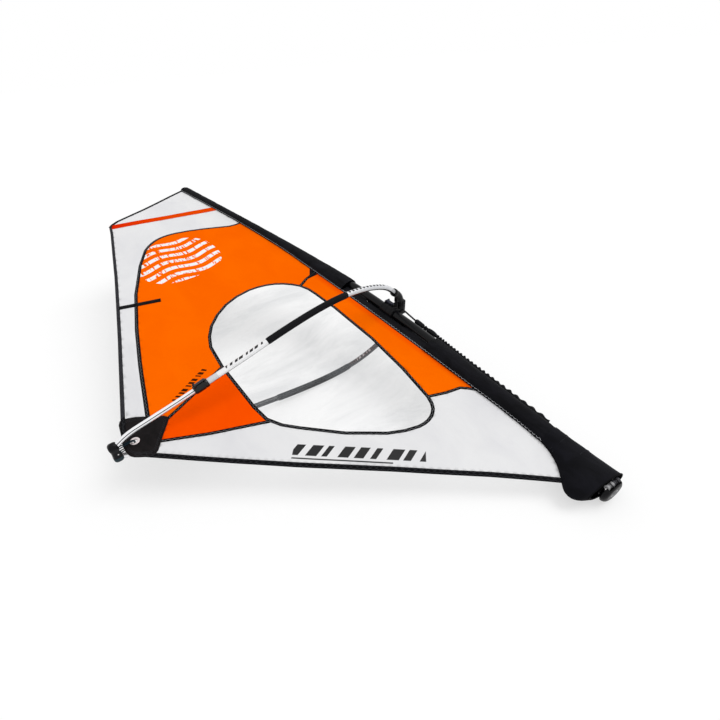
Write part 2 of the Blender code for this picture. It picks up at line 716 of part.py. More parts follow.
def make_sail():
    sheet = TAPE_WIDTH / 2
    edge = EDGE_TAPE_WIDTH / 2
    foot = FOOT_TAPE_WIDTH / 2
    batten = BATTEN_WIDTH / 2
    patch_loop = smooth(CLEW_PATCH, 0.06, closed=True)
    layers = [
        ("tack_pad_footprint", [pad_footprint()], None, None),
        ("clew_patch", [patch_loop], PATCH, TAPE_BLACK),
        ("head_tape", strip(HEAD_EDGE, edge), TAPE, TAPE_BLACK),
        ("leech_tape", strip(LEECH, edge), TAPE, TAPE_BLACK),
        ("foot_tape", strip(FOOT, foot), TAPE, TAPE_BLACK),
        ("head_batten", strip(HEAD_BATTEN_LINE, batten), BATTEN, CLOTH_RED),
        ("window_tape", strip(WINDOW, sheet, closed=True), TAPE, TAPE_BLACK),
        ("leech_seam_tape", strip(SEAM_LEECH, sheet), TAPE, TAPE_BLACK),
        ("clew_seam_tape", strip(SEAM_CLEW, sheet), TAPE, TAPE_BLACK),
        ("foot_seam_tape", strip(SEAM_FOOT, sheet), TAPE, TAPE_BLACK),
        ("gusset_seam_tape", strip(SEAM_GUSSET, sheet), TAPE, TAPE_BLACK),
        ("tack_seam_tape", strip(SEAM_TACK, sheet), TAPE, TAPE_BLACK),
    ]
    edges = [smooth(HEAD_EDGE, 0.6)[:-1], smooth(LEECH, 0.6)[:-1], smooth(FOOT, 0.6)[::-1]]
    outline = [(x, y - SLEEVE_FLANGE) for x, y in luff_outline()]
    outline += [(p.x, p.y) for line in edges for p in line]
    keep_off_luff = luff_outline()
    keep_off_luff += [(SLEEVE_TOP_X + 0.2, keep_off_luff[-1][1]), (SLEEVE_TOP_X + 0.2, -0.3),
                      (0.0, -0.3), (0.0, keep_off_luff[0][1])]
    sleeve_tool = slab("sleeve_side_cutter", [keep_off_luff], 0.05, RIG, TAPE_BLACK)
    tools = [cutter(sleeve_tool)]
    sail = slab("sail_blank", [outline], CLOTH, RIG, CLOTH_WHITE)
    for name, loops, thick, finish in layers:
        if thick:
            piece = slab(name, loops, thick, RIG, finish)
            for tool in tools:
                cut(piece, tool)
            keep_largest(bake(piece))
        if len(loops) == 2:
            fat = strip(WINDOW, sheet + GAP, closed=True)
        else:
            fat = [grown(loops[0], GAP)]
        tools.append(cutter(slab(name + "_cutter", fat, 0.05, RIG, TAPE_BLACK)))
    for tool in tools:
        cut(sail, tool)
    sail = bake(sail)
    seeds = {
        "head_panel": ((3.05, 0.30), CLOTH_WHITE),
        "leech_panel": ((2.78, 0.20), CLOTH_WHITE),
        "main_panel": ((2.20, 0.30), CLOTH_ORANGE),
        "luff_panel": ((1.20, 0.02), CLOTH_ORANGE),
        "window_panel": ((1.30, 0.40), WINDOW_FILM),
        "clew_panel": ((1.15, 0.85), CLOTH_ORANGE),
        "foot_panel": ((0.45, 0.20), CLOTH_WHITE),
    }
    for name, (seed, finish) in seeds.items():
        panel_from(sail, name, seed, finish)
    bpy.data.objects.remove(sail, do_unlink=True)
    hole = rod("grommet_hole_cutter", (*GROMMET_PLACE, -0.02), (*GROMMET_PLACE, 0.02),
               GROMMET_BODY_RADIUS + GAP, RIG, METAL, 24)
    cut(bpy.data.objects["clew_patch"], cutter(hole))
    make_cutout_strip()
    pocket = slab("leech_batten", strip(LEECH_BATTEN_LINE, LEECH_BATTEN_WIDTH / 2),
                  LEECH_BATTEN, RIG, TAPE_BLACK)
    pocket.location.z = TAPE / 2 + GAP + LEECH_BATTEN / 2


def make_cutout_strip():
    """The sleeve's rear flange where its front is cut away for the boom."""
    xs = sleeve_xs(CUTOUT_LOW_X, CUTOUT_HIGH_X)
    xs[0] += GAP
    xs[-1] -= GAP
    rear = [(x, line_height(SLEEVE_REAR, x)) for x in xs]
    reach = MAST_RADIUS + CLAMP_GAP + LINER_WALL + CLAMP_WALL + 4 * GAP
    front = [(x, mast_centre(x) + reach) for x in xs]
    slab("cutout_strip", [rear + front[::-1]], TAPE, RIG, SLEEVE_CLOTH)


def make_grommet():
    inner, body, flange = GROMMET_BORE_RADIUS, GROMMET_BODY_RADIUS, GROMMET_FLANGE_RADIUS
    low = PATCH / 2 + GAP
    high = low + GROMMET_FLANGE
    turned("clew_grommet",
           [(inner, high), (flange, high), (flange, low), (body, low), (body, -low),
            (flange, -low), (flange, -high), (inner, -high)],
           RIG, METAL, 20, (*GROMMET_PLACE, 0.0), ring=True)


# Mast foot

def make_foot():
    inner = MAST_RADIUS - MAST_WALL - 2 * GAP
    radius, length = CUP_RADIUS, CUP_LENGTH
    base = COLLAR_LENGTH - length
    rounding = [(radius - CUP_EDGE * (1 - cos(a)), base + CUP_EDGE * (1 - sin(a)))
                for a in (radians(22.5 * i) for i in range(5))]
    body = turned("foot_cup",
                  [(0.0, COLLAR_LENGTH), (COLLAR_RADIUS, COLLAR_LENGTH), (COLLAR_RADIUS, 0.0),
                   (radius * 0.86, 0.0), (radius, -0.007)] + rounding + [(0.0, base)],
                  CUP, PLASTIC_BLACK, 28, rotation=(0, pi / 2, 0))
    body = bake(body)
    tube_seat = rod("foot_tube_cutter", (0, 0, 0), (COLLAR_LENGTH + 0.01, 0, 0), inner + GAP, CUP,
                    PLASTIC_BLACK, MAST_SIDES)
    bush = SOCKET_RADIUS + SOCKET_WALL
    socket = rod("foot_socket_cutter", (base - 0.01, 0, 0), (0.001, 0, 0), bush + GAP, CUP,
                 PLASTIC_BLACK, 32)
    pocket_half = ROLLER_LENGTH + 0.0025
    pocket = box("roller_pocket_cutter",
                 (ROLLER_X - ROLLER_RADIUS - 0.006, -pocket_half, ROLLER_HEIGHT - ROLLER_RADIUS - 0.002),
                 (ROLLER_X + ROLLER_RADIUS + 0.002, pocket_half, radius + 0.02),
                 CUP, PLASTIC_BLACK)
    axle_gap = AXLE_RADIUS + GAP
    bore = rod("roller_axle_cutter", (ROLLER_X, -pocket_half - 0.02, ROLLER_HEIGHT),
               (ROLLER_X, pocket_half + 0.02, ROLLER_HEIGHT), axle_gap, CUP, PLASTIC_BLACK)
    button_y = -(radius - BUTTON_LENGTH + BUTTON_PROUD)
    well = rod("button_well_cutter", (BUTTON_X, -radius - 0.01, 0),
               (BUTTON_X, button_y + 0.004, 0), BUTTON_RADIUS + RUNNING_GAP, CUP, PLASTIC_BLACK)
    for tool in (tube_seat, socket, pocket, bore, well):
        cut(body, cutter(tool))
    smooth_shade(body)
    turned("socket_bush", [(SOCKET_RADIUS, -GAP), (bush, -GAP), (bush, base), (SOCKET_RADIUS, base)],
           CUP, PLASTIC_GREY, 32, rotation=(0, pi / 2, 0), ring=True)
    tube_path = mast_path(2 * GAP, FOOT_TUBE_LENGTH, 0.15)
    hollow_wire("foot_tube", tube_path, inner, FOOT_TUBE_WALL, RIG, METAL, MAST_SIDES)
    reach = (radius ** 2 - ROLLER_HEIGHT ** 2) ** 0.5
    rod("roller_axle", (ROLLER_X, -reach, ROLLER_HEIGHT), (ROLLER_X, reach, ROLLER_HEIGHT),
        AXLE_RADIUS, CUP, METAL, 16)
    for name, side in (("foot_roller_front", -1), ("foot_roller_rear", 1)):
        near, far = 0.0006 * side, ROLLER_LENGTH * side
        middle = (near + far) / 2
        half = abs(far - near) / 2
        bore_radius = AXLE_RADIUS + RUNNING_GAP
        turned(name,
               [(bore_radius, half), (ROLLER_RADIUS, half), (ROLLER_RADIUS * 0.9, half * 0.5),
                (ROLLER_RADIUS * 0.9, -half * 0.5), (ROLLER_RADIUS, -half), (bore_radius, -half)],
               CUP, PLASTIC_GREY, 16, (ROLLER_X, middle, ROLLER_HEIGHT), (pi / 2, 0, 0), ring=True)
    rod("release_button", (BUTTON_X, -radius - BUTTON_PROUD, 0),
        (BUTTON_X, -radius - BUTTON_PROUD + BUTTON_LENGTH - 0.004, 0), BUTTON_RADIUS, CUP,
        PLASTIC_GREY, 16, 0.0008)


def make_tack_line():
    block_z = MAST_RADIUS + TACK_BLOCK_HEIGHT / 2 + 0.004
    low = (TACK_BLOCK_X, -TACK_BLOCK_WIDTH / 2, block_z - TACK_BLOCK_HEIGHT / 2)
    high = (TACK_BLOCK_X + TACK_BLOCK_LENGTH, TACK_BLOCK_WIDTH / 2, block_z + TACK_BLOCK_HEIGHT / 2)
    box("tack_block", low, high, CUP, METAL, 0.0015)
    side = ROLLER_LENGTH / 2
    over = ROLLER_RADIUS + DOWNHAUL_RADIUS + GAP
    run = [
        (TACK_BLOCK_X - GAP, side, block_z), (0.050, side, block_z + 0.004),
        (0.020, side, ROLLER_HEIGHT + over * 0.55), (ROLLER_X + 0.004, side, ROLLER_HEIGHT + over),
        (ROLLER_X - over * 0.70, side, ROLLER_HEIGHT + over * 0.78),
        (ROLLER_X - over * 1.02, side * 0.85, ROLLER_HEIGHT + over * 0.1),
        (ROLLER_X - over * 1.05, 0.0, ROLLER_HEIGHT - over * 0.15),
    ]
    path = run + [(x, -y, z) for x, y, z in run[-2::-1]]
    wire("downhaul_line", smooth(path, 0.03), DOWNHAUL_RADIUS, CUP, ROPE_BLACK, 8)


# Boom clamp

def make_clamp():
    bore = MAST_RADIUS + CLAMP_GAP
    seat = bore + LINER_WALL + GAP
    outer = seat + CLAMP_WALL
    half = CLAMP_LENGTH / 2
    web_root = -seat - CLAMP_WALL / 2
    round_body = turned("clamp_body", [(seat, half), (outer, half), (outer, -half), (seat, -half)],
                        CLAMP, PLASTIC_BLACK, 32, rotation=(0, pi / 2, 0), ring=True)
    round_body = bake(round_body)
    halves = box("clamp_split_cutter", (-half - 0.01, -GAP / 2, -0.06), (half + 0.01, 0.06, 0.06),
                 CLAMP, PLASTIC_BLACK)
    band_half = box("band_split_cutter", (-half - 0.01, -0.06, -0.06), (half + 0.01, GAP / 2, 0.06),
                    CLAMP, PLASTIC_BLACK)
    band_body = turned("clamp_band", [(seat, half), (outer, half), (outer, -half), (seat, -half)],
                       CLAMP, PLASTIC_BLACK, 32, rotation=(0, pi / 2, 0), ring=True)
    cut(band_body, cutter(band_half))
    smooth_shade(bake(band_body))
    web = box("lug_web", (-LUG_RADIUS * 0.8, -PIN_AHEAD, -CLAMP_HALF_HEIGHT),
              (LUG_RADIUS * 0.8, web_root + CLAMP_WALL / 2, CLAMP_HALF_HEIGHT), CLAMP, PLASTIC_BLACK)
    lug = rod("lug_barrel", (0, -PIN_AHEAD, -CLAMP_HALF_HEIGHT), (0, -PIN_AHEAD, CLAMP_HALF_HEIGHT),
              LUG_RADIUS, CLAMP, PLASTIC_BLACK, 24)
    deck_z = outer - 0.003
    deck = box("lever_deck", (half - LEVER_LENGTH - 0.004, -LEVER_WIDTH - LEVER_INSET, deck_z - 0.012),
               (half, -LEVER_INSET, deck_z + 0.0045), CLAMP, PLASTIC_BLACK, 0.0005)
    nose = box("eyelet_boss", (-half - 0.012, -PIN_AHEAD - 0.016, -0.006),
               (-half + 0.012, -seat * 0.85, 0.006), CLAMP, PLASTIC_BLACK, 0.002)
    cut(round_body, cutter(halves))
    for extra in (web, lug, deck, nose):
        cut(round_body, cutter(extra), "UNION")
    pin_hole = rod("fold_pin_cutter", (0, -PIN_AHEAD, -0.1), (0, -PIN_AHEAD, 0.1),
                   PIN_RADIUS + GAP, CLAMP, PLASTIC_BLACK, 20)
    bore_tool = rod("clamp_bore_cutter", (-half - 0.02, 0, 0), (half + 0.02, 0, 0),
                    seat - GAP / 2, CLAMP, PLASTIC_BLACK, 32)
    rope = flat_path(UPHAUL_ROPE, 0.010)[:3]
    for tool in (cutter(pin_hole), cutter(bore_tool),
                 tube_cutter("uphaul_hole_cutter", rope, UPHAUL_LINE_RADIUS, GAP, RIG, 8)):
        cut(round_body, tool)
    turned("clamp_liner", [(bore, half), (bore + LINER_WALL, half), (bore + LINER_WALL, -half),
                           (bore, -half)], CLAMP, RUBBER, 32, rotation=(0, pi / 2, 0), ring=True)
    make_lever(round_body, half, deck_z + 0.0045)
    smooth_shade(bake(round_body))


def make_lever(body, half, deck_top):
    """A cam lever on the clamp's upper side, hinged at its tip end about Y."""
    width = LEVER_WIDTH
    middle = -width / 2 - LEVER_INSET
    pin = Vector((half - 0.006, middle, deck_top + LEVER_THICK / 2 + GAP))
    axis = empty("lever_axis", CLAMP, pin)
    lever = box("clamp_lever", (-LEVER_LENGTH, -width / 2 + 0.004, -LEVER_THICK / 2),
                (0.0, width / 2 - 0.004, LEVER_THICK / 2), axis, PLASTIC_BLACK, 0.0015)
    knuckle = rod("lever_knuckle", (0, -width / 2 + 0.004, 0), (0, width / 2 - 0.004, 0),
                  LEVER_THICK / 2, axis, PLASTIC_BLACK, 20)
    hole = rod("lever_pin_cutter", (0, -width, 0), (0, width, 0), LEVER_PIN_RADIUS + RUNNING_GAP,
               axis, PLASTIC_BLACK, 16)
    cut(lever, cutter(knuckle), "UNION")
    cut(lever, cutter(hole))
    for side in (-1, 1):
        inner = middle + side * (width / 2 - 0.004 + GAP)
        outer = middle + side * (width / 2)
        ear = rod("lever_ear_%s" % ("front" if side < 0 else "rear"), (pin.x, inner, pin.z),
                  (pin.x, outer, pin.z), LEVER_THICK / 2, CLAMP, PLASTIC_BLACK, 20)
        cut(body, cutter(ear), "UNION")
        stem = box("lever_stem_%s" % ("front" if side < 0 else "rear"),
                   (pin.x - LEVER_THICK / 2, min(inner, outer), deck_top - 0.002),
                   (pin.x + LEVER_THICK / 2, max(inner, outer), pin.z), CLAMP, PLASTIC_BLACK)
        cut(body, cutter(stem), "UNION")
    pin_hole = rod("lever_pin_seat_cutter", (pin.x, middle - width, pin.z),
                   (pin.x, middle + width, pin.z), LEVER_PIN_RADIUS + GAP, CLAMP, METAL, 16)
    cut(body, cutter(pin_hole))
    rod("lever_pin", (pin.x, middle - width / 2, pin.z), (pin.x, middle + width / 2, pin.z),
        LEVER_PIN_RADIUS, CLAMP, METAL, 16)


# Wishbone

def side_path(line, side, step=0.12):
    return [Vector((0.0, p.x, p.y * side)) for p in smooth(line, step)]


def path_span(points, low, high):
    """The stretch of a path between two distances behind the pin, ends included."""
    out = []
    for a, b in zip(points, points[1:]):
        for edge in (low, high):
            if a.y < edge < b.y:
                out.append(a.lerp(b, (edge - a.y) / (b.y - a.y)))
        if low <= b.y <= high:
            out.append(b)
    if low <= points[0].y <= high:
        out.append(points[0])
    return sorted(out, key=lambda p: p.y)


def path_point(points, y):
    for a, b in zip(points, points[1:]):
        if a.y <= y <= b.y:
            along = (b - a).normalized()
            return a.lerp(b, (y - a.y) / (b.y - a.y)), along
    return points[-1], (points[-1] - points[-2]).normalized()


def tube_cutter(name, points, radius, gap, parent=FOLD, sides=ARM_SIDES):
    """A cutter round a tube: the same path, wider and longer by the gap."""
    first = points[0] + (points[0] - points[1]).normalized() * gap
    last = points[-1] + (points[-1] - points[-2]).normalized() * gap
    path = [first] + points[1:-1] + [last]
    return cutter(bake(wire(name, path, radius + gap, parent, METAL, sides)))


def make_yoke():
    half = smooth(YOKE_LINE, 0.030)
    upper = [Vector((0.0, p.x, p.y)) for p in half]
    lower = [Vector((0.0, p.x, -p.y)) for p in half[-2::-1]]
    yoke = bake(wire("boom_yoke", upper + lower, YOKE_RADIUS, FOLD, PLASTIC_BLACK, 12))
    pin_half = 0.072
    hole = rod("yoke_pin_cutter", (0, 0, -pin_half - GAP), (0, 0, pin_half + GAP),
               PIN_RADIUS + GAP, FOLD, METAL, 20)
    clear = rod("yoke_clear_cutter", (0, 0, -CLAMP_HALF_HEIGHT - 0.001),
                (0, 0, CLAMP_HALF_HEIGHT + 0.001), LUG_RADIUS + 0.0015, FOLD, METAL, 32)
    cut(yoke, cutter(hole))
    cut(yoke, cutter(clear))
    for side in (1, -1):
        arm = side_path(ARM_LINE, side)
        cut(yoke, tube_cutter("arm_socket_cutter", path_span(arm, arm[0].y, 0.09), ARM_RADIUS, GAP))
    rod("fold_pin", (0, 0, -pin_half), (0, 0, pin_half), PIN_RADIUS, FOLD, METAL, 20)


def make_arm(name, side):
    arm = side_path(ARM_LINE, side)
    hollow_wire("arm_tube_" + name, arm, ARM_RADIUS, ARM_WALL, FOLD, TUBE_WHITE, ARM_SIDES)
    grip = path_span(arm, GRIP_START, GRIP_END)
    hollow_wire("grip_" + name, grip, GRIP_RADIUS, GRIP_RADIUS - ARM_RADIUS - GAP, FOLD,
                FOAM_BLACK, ARM_SIDES)
    leg = side_path(LEG_LINE, side)
    hollow_wire("tail_leg_" + name, leg, LEG_RADIUS, LEG_WALL, TAIL, ALUMINIUM, ARM_SIDES)
    make_end_sleeve(name, side, arm, leg)


def make_end_sleeve(name, side, arm, leg):
    """The collar where the tail leg leaves the arm, with its cam lever outside."""
    start, along = path_point(leg, END_SLEEVE_START)
    end = start + along * END_SLEEVE_LENGTH
    sleeve = rod("end_sleeve_" + name, start, end, END_SLEEVE_RADIUS, FOLD, PLASTIC_BLACK, 20, 0.004)
    sleeve = bake(sleeve)
    out = Vector((0.0, -along.z, along.y)) * side
    fat_arm = tube_cutter("sleeve_arm_cutter", path_span(arm, 0.9, 1.1), ARM_RADIUS, GAP)
    fat_leg = tube_cutter("sleeve_leg_cutter", path_span(leg, 0.9, 1.15), LEG_RADIUS, RUNNING_GAP)
    cut(sleeve, fat_arm)
    cut(sleeve, fat_leg)
    turn = Matrix((along.cross(out), along, out)).transposed().to_euler()
    pin_point = start + along * (END_SLEEVE_LENGTH - 0.010) + out * (END_SLEEVE_RADIUS + LOCK_LEVER_THICK / 2)
    axis = empty("lock_axis_" + name, FOLD, pin_point, turn)
    half = LOCK_LEVER_WIDTH / 2
    low_z = -LOCK_LEVER_THICK / 2
    lever = box("lock_lever_" + name, (-half + 0.005, -LOCK_LEVER_LENGTH, low_z),
                (half - 0.005, 0.0, -low_z), axis, PLASTIC_BLACK, 0.0012)
    knuckle = rod("lock_knuckle_" + name, (-half + 0.005, 0, 0), (half - 0.005, 0, 0), -low_z, axis,
                  PLASTIC_BLACK, 16)
    hole = rod("lock_hole_" + name, (-half, 0, 0), (half, 0, 0), LOCK_PIN_RADIUS + RUNNING_GAP,
               axis, PLASTIC_BLACK, 12)
    cut(lever, cutter(knuckle), "UNION")
    cut(lever, cutter(hole))
    well = box("lock_well_" + name, (-half + 0.0045, -LOCK_LEVER_LENGTH - 0.006, low_z - 0.0006),
               (half - 0.0045, 0.0050, 0.02), axis, PLASTIC_BLACK)
    for edge in (-1, 1):
        inner, outer = edge * (half - 0.0045), edge * half
        ear = box("lock_ear_%s_%d" % (name, edge), (min(inner, outer), -0.005, low_z - 0.008),
                  (max(inner, outer), 0.005, -low_z), axis, PLASTIC_BLACK)
        cut(sleeve, cutter(ear), "UNION")
    pin = rod("lock_pin_" + name, (-half + 0.001, 0, 0), (half - 0.001, 0, 0), LOCK_PIN_RADIUS,
              axis, PLASTIC_BLACK, 12)
    cut(sleeve, cutter(well))
    cut(sleeve, cutter(pin), "UNION")
    cut(sleeve, fat_arm)
    smooth_shade(bake(sleeve))


def make_tail():
    low = (-TAIL_THICK / 2, TAIL_INNER, -TAIL_HALF_WIDTH)
    high = (TAIL_THICK / 2, TAIL_INNER + TAIL_DEPTH, TAIL_HALF_WIDTH)
    fitting = box("tail_fitting", low, high, TAIL, PLASTIC_BLACK, 0.012)
    roller_y = TAIL_INNER + TAIL_ROLLER_RADIUS + 0.0060
    slot_end = roller_y + TAIL_ROLLER_RADIUS + 2 * OUTHAUL_RADIUS + 3 * GAP
    slot = box("tail_slot_cutter", (-TAIL_ROLLER_LENGTH / 2 - 0.001, TAIL_INNER - 0.01, -TAIL_SLOT_HALF),
               (TAIL_ROLLER_LENGTH / 2 + 0.001, slot_end, TAIL_SLOT_HALF), TAIL, METAL)
    cut(fitting, cutter(slot))
    axle_half = TAIL_THICK / 2
    bore = rod("tail_axle_cutter", (-axle_half - 0.01, roller_y, 0), (axle_half + 0.01, roller_y, 0),
               AXLE_RADIUS + GAP, TAIL, METAL, 16)
    cut(fitting, cutter(bore))
    for side in (1, -1):
        leg = path_span(side_path(LEG_LINE, side), TAIL_INNER - 0.03, TAIL_INNER + TAIL_DEPTH)
        cut(fitting, tube_cutter("leg_socket_cutter", leg, LEG_RADIUS, GAP, TAIL))
    smooth_shade(bake(fitting))
    rod("tail_axle", (-axle_half, roller_y, 0), (axle_half, roller_y, 0), AXLE_RADIUS, TAIL, METAL, 16)
    half = TAIL_ROLLER_LENGTH / 2
    bore_radius = AXLE_RADIUS + RUNNING_GAP
    turned("tail_roller",
           [(bore_radius, half), (TAIL_ROLLER_RADIUS, half), (TAIL_ROLLER_RADIUS * 0.85, 0.0),
            (TAIL_ROLLER_RADIUS, -half), (bore_radius, -half)],
           TAIL, PLASTIC_GREY, 20, (0, roller_y, 0), (0, pi / 2, 0), ring=True)
    make_outhaul(roller_y)


def make_outhaul(roller_y):
    """A loop of line from the tail roller through the clew grommet."""
    ring_x = GROMMET_PLACE[0] - FOLD_PLACE[0]
    ring_y = GROMMET_PLACE[1] - FOLD_PLACE[1]
    over = TAIL_ROLLER_RADIUS + OUTHAUL_RADIUS + GAP
    shift = 0.004
    top = [
        (ring_x, ring_y, 0.0), (ring_x, ring_y + 0.0035, over * 0.62),
        (ring_x, ring_y + 0.012, over * 0.98), (ring_x * 0.5 + shift, roller_y - 0.02, over),
        (shift, roller_y, over),
    ]
    back = [(shift, roller_y + over * 0.8, over * 0.6), (shift, roller_y + over, 0.0)]
    path = top + back
    path += [(x, y, -z) for x, y, z in reversed(path[1:-1])]
    wire("outhaul_line", smooth(path, 0.03, closed=True), OUTHAUL_RADIUS, TAIL, ROPE_BLUE, 8,
         loop=True)


# Uphaul

def flat_path(line, step):
    return [Vector((p.x, p.y, 0.0)) for p in smooth(line, step)]


def make_uphaul():
    splice = [Vector((x, y, 0.0)) for x, y in UPHAUL_SPLICE]
    rope = flat_path(UPHAUL_ROPE, 0.010)[:-1] + splice[:2]
    low = rope[-1].x
    radii = []
    for point in rope:
        reach = (point.x - low) / (UPHAUL_GRIP_X - low)
        waist = min(abs(reach - UPHAUL_KNOT_REACH) * 5.0, 1.0)
        ends = max(0.0, min(reach, 1 - reach, 0.08) / 0.08)
        swell = UPHAUL_GRIP_RADIUS * (0.62 + 0.38 * waist * ends)
        radii.append(swell if reach <= 1 else UPHAUL_LINE_RADIUS)
    wire("uphaul_rope", rope, None, RIG, ROPE_BLACK, 8, radii)
    elastic = splice[1:] + flat_path(UPHAUL_ELASTIC, UPHAUL_PITCH / 2)[1:]
    radii = [UPHAUL_ELASTIC_RADIUS + (UPHAUL_SWELL if i % 2 else -UPHAUL_SWELL)
             for i in range(len(elastic))]
    wire("uphaul_elastic", elastic, None, RIG, ROPE_BLACK, 8, radii)


make_mast()
make_sleeve()
make_sail()
make_grommet()
make_foot()
make_tack_line()
make_clamp()
make_yoke()
make_arm("upper", 1)
make_arm("lower", -1)
make_tail()
make_uphaul()
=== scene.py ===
import bpy
import bmesh
from math import atan2, ceil, cos, exp, hypot, pi, radians, sin, sqrt
from mathutils import Euler, Matrix, Vector, noise


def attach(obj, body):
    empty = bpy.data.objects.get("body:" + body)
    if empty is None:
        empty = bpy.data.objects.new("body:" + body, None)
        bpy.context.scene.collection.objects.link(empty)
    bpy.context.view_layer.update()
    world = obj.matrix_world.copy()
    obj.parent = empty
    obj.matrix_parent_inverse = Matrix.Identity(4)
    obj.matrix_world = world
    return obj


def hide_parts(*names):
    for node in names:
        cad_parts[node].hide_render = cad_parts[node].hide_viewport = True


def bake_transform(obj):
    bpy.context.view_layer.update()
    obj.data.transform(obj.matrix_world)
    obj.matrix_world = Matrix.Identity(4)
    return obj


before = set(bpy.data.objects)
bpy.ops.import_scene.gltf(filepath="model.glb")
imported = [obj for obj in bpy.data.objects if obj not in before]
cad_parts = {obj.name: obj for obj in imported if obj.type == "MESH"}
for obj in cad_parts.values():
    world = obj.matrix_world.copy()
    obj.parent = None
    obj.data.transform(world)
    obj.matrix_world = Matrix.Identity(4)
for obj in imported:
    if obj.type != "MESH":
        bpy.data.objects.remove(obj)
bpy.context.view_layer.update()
print("frame loaded")

# The rig's own frame: +X up the mast from the foot, +Y from the mast to the clew,
# +Z square to the sail. The lines below are written in it.
rest = {"pitch": radians(-8.81), "roll": radians(-2.86), "place": (-1.6328, -0.50939, 0.0481)}
turnToWorld = Euler((rest["roll"], rest["pitch"], 0)).to_matrix().to_4x4()
rigMatrix = Matrix.Translation(rest["place"]) @ turnToWorld
rigInverse = rigMatrix.inverted()


# lines

def smoothLine(points, step, closed=False):
    known = [Vector(p) for p in points]
    count = len(known)
    out = []
    for i in range(count if closed else count - 1):
        b, c = known[i], known[(i + 1) % count]
        a = known[i - 1] if closed or i > 0 else b * 2 - c
        d = known[(i + 2) % count] if closed or i + 2 < count else c * 2 - b
        parts = max(1, ceil((c - b).length / step))
        for k in range(parts):
            t = k / parts
            out.append(0.5 * (2 * b + (c - a) * t + (2 * a - 5 * b + 4 * c - d) * t ** 2
                              + (3 * b - a - 3 * c + d) * t ** 3))
    if not closed:
        out.append(known[-1])
    return out


def evenLine(points, step):
    # the same line with its points a near-even step apart
    gaps = [(b - a).length for a, b in zip(points, points[1:])]
    count = max(1, round(sum(gaps) / step))
    out, i, passed = [points[0]], 0, 0.0
    for k in range(1, count):
        want = sum(gaps) * k / count
        while passed + gaps[i] < want:
            passed += gaps[i]
            i += 1
        out.append(points[i].lerp(points[i + 1], (want - passed) / gaps[i]))
    return out + [points[-1]]


denseLines = {}


def heightOn(line, x):
    key = id(line)
    if key not in denseLines:
        denseLines[key] = smoothLine(line, 0.02)
    dense = denseLines[key]
    for a, b in zip(dense, dense[1:]):
        low, high = (a, b) if a.x < b.x else (b, a)
        if low.x <= x <= high.x:
            return low.y + (high.y - low.y) * (x - low.x) / max(high.x - low.x, 1e-9)
    return min((dense[0], dense[-1]), key=lambda p: abs(p.x - x)).y


def ease(low, high, x):
    t = min(1.0, max(0.0, (x - low) / (high - low)))
    return t * t * (3 - 2 * t)


def stations(low, high, step):
    count = max(1, ceil((high - low) / step))
    return [low + (high - low) * i / count for i in range(count + 1)]


mast = {
    "line": [(0.00, 0.000), (0.45, -0.055), (0.87, -0.103), (1.25, -0.121), (1.60, -0.117),
             (2.00, -0.096), (2.50, -0.056), (2.98, -0.018), (3.33, 0.006)],
    "radius": 0.0225, "tipRadius": 0.0120, "wall": 0.0035, "topWall": 0.0022,
    "footX": 0.0206, "jointX": 1.70, "tipX": 3.30, "straight": (1.072, 1.334),
}
sleeve = {
    "front": [(0.00, -0.072), (0.15, -0.080), (0.30, -0.089), (0.60, -0.1105), (0.89, -0.135), (1.20, -0.148),
              (1.51, -0.153), (2.00, -0.127), (2.40, -0.096), (2.98, -0.047), (3.33, -0.017)],
    "rear": [(0.25, 0.007), (0.40, -0.008), (0.60, -0.018), (0.85, -0.028), (1.15, -0.038),
             (1.50, -0.046), (1.80, -0.049), (2.10, -0.050), (2.55, -0.028), (2.95, 0.008),
             (3.33, 0.046)],
    "clearance": 0.0080, "wall": 0.0009, "flange": 0.0080, "wrinkle": 0.0016,
    "lowX": 0.2503, "cutLowX": 0.890, "cutHighX": 1.508, "topX": 3.325, "cell": 0.012,
}
boom = {"x": 1.2030, "clampLength": 0.0850, "pinAhead": 0.0420}


def mastCentre(x):
    low, high = mast["straight"]
    if not low < x < high:
        return heightOn(mast["line"], x)
    a, b = heightOn(mast["line"], low), heightOn(mast["line"], high)
    return a + (b - a) * (x - low) / (high - low)


def mastRadius(x):
    taper = min(1.0, max(0.0, (x - mast["jointX"]) / (mast["tipX"] - mast["jointX"])))
    return mast["radius"] + (mast["tipRadius"] - mast["radius"]) * taper


halfClamp = boom["clampLength"] / 2
clampTurn = atan2(mastCentre(boom["x"] + halfClamp) - mastCentre(boom["x"] - halfClamp), boom["clampLength"])
footTurn = atan2(mastCentre(0.06) - mastCentre(0.0), 0.06)
foldX = boom["x"] + boom["pinAhead"] * sin(clampTurn)
foldY = mastCentre(boom["x"]) - boom["pinAhead"] * cos(clampTurn)
clampPlace = Matrix.Translation((boom["x"], mastCentre(boom["x"]), 0))
clampMatrix = rigMatrix @ clampPlace @ Matrix.Rotation(clampTurn, 4, "Z")
foldMatrix = rigMatrix @ Matrix.Translation((foldX, foldY, 0))
cupMatrix = rigMatrix @ Matrix.Rotation(footTurn, 4, "Z")


# camera

camera = {"place": (-0.142, 1.166, 1.344), "right": (-0.6369, -0.7709, -0.0094),
          "ahead": (0.5773, -0.4688, -0.6686), "lens": 23.055}


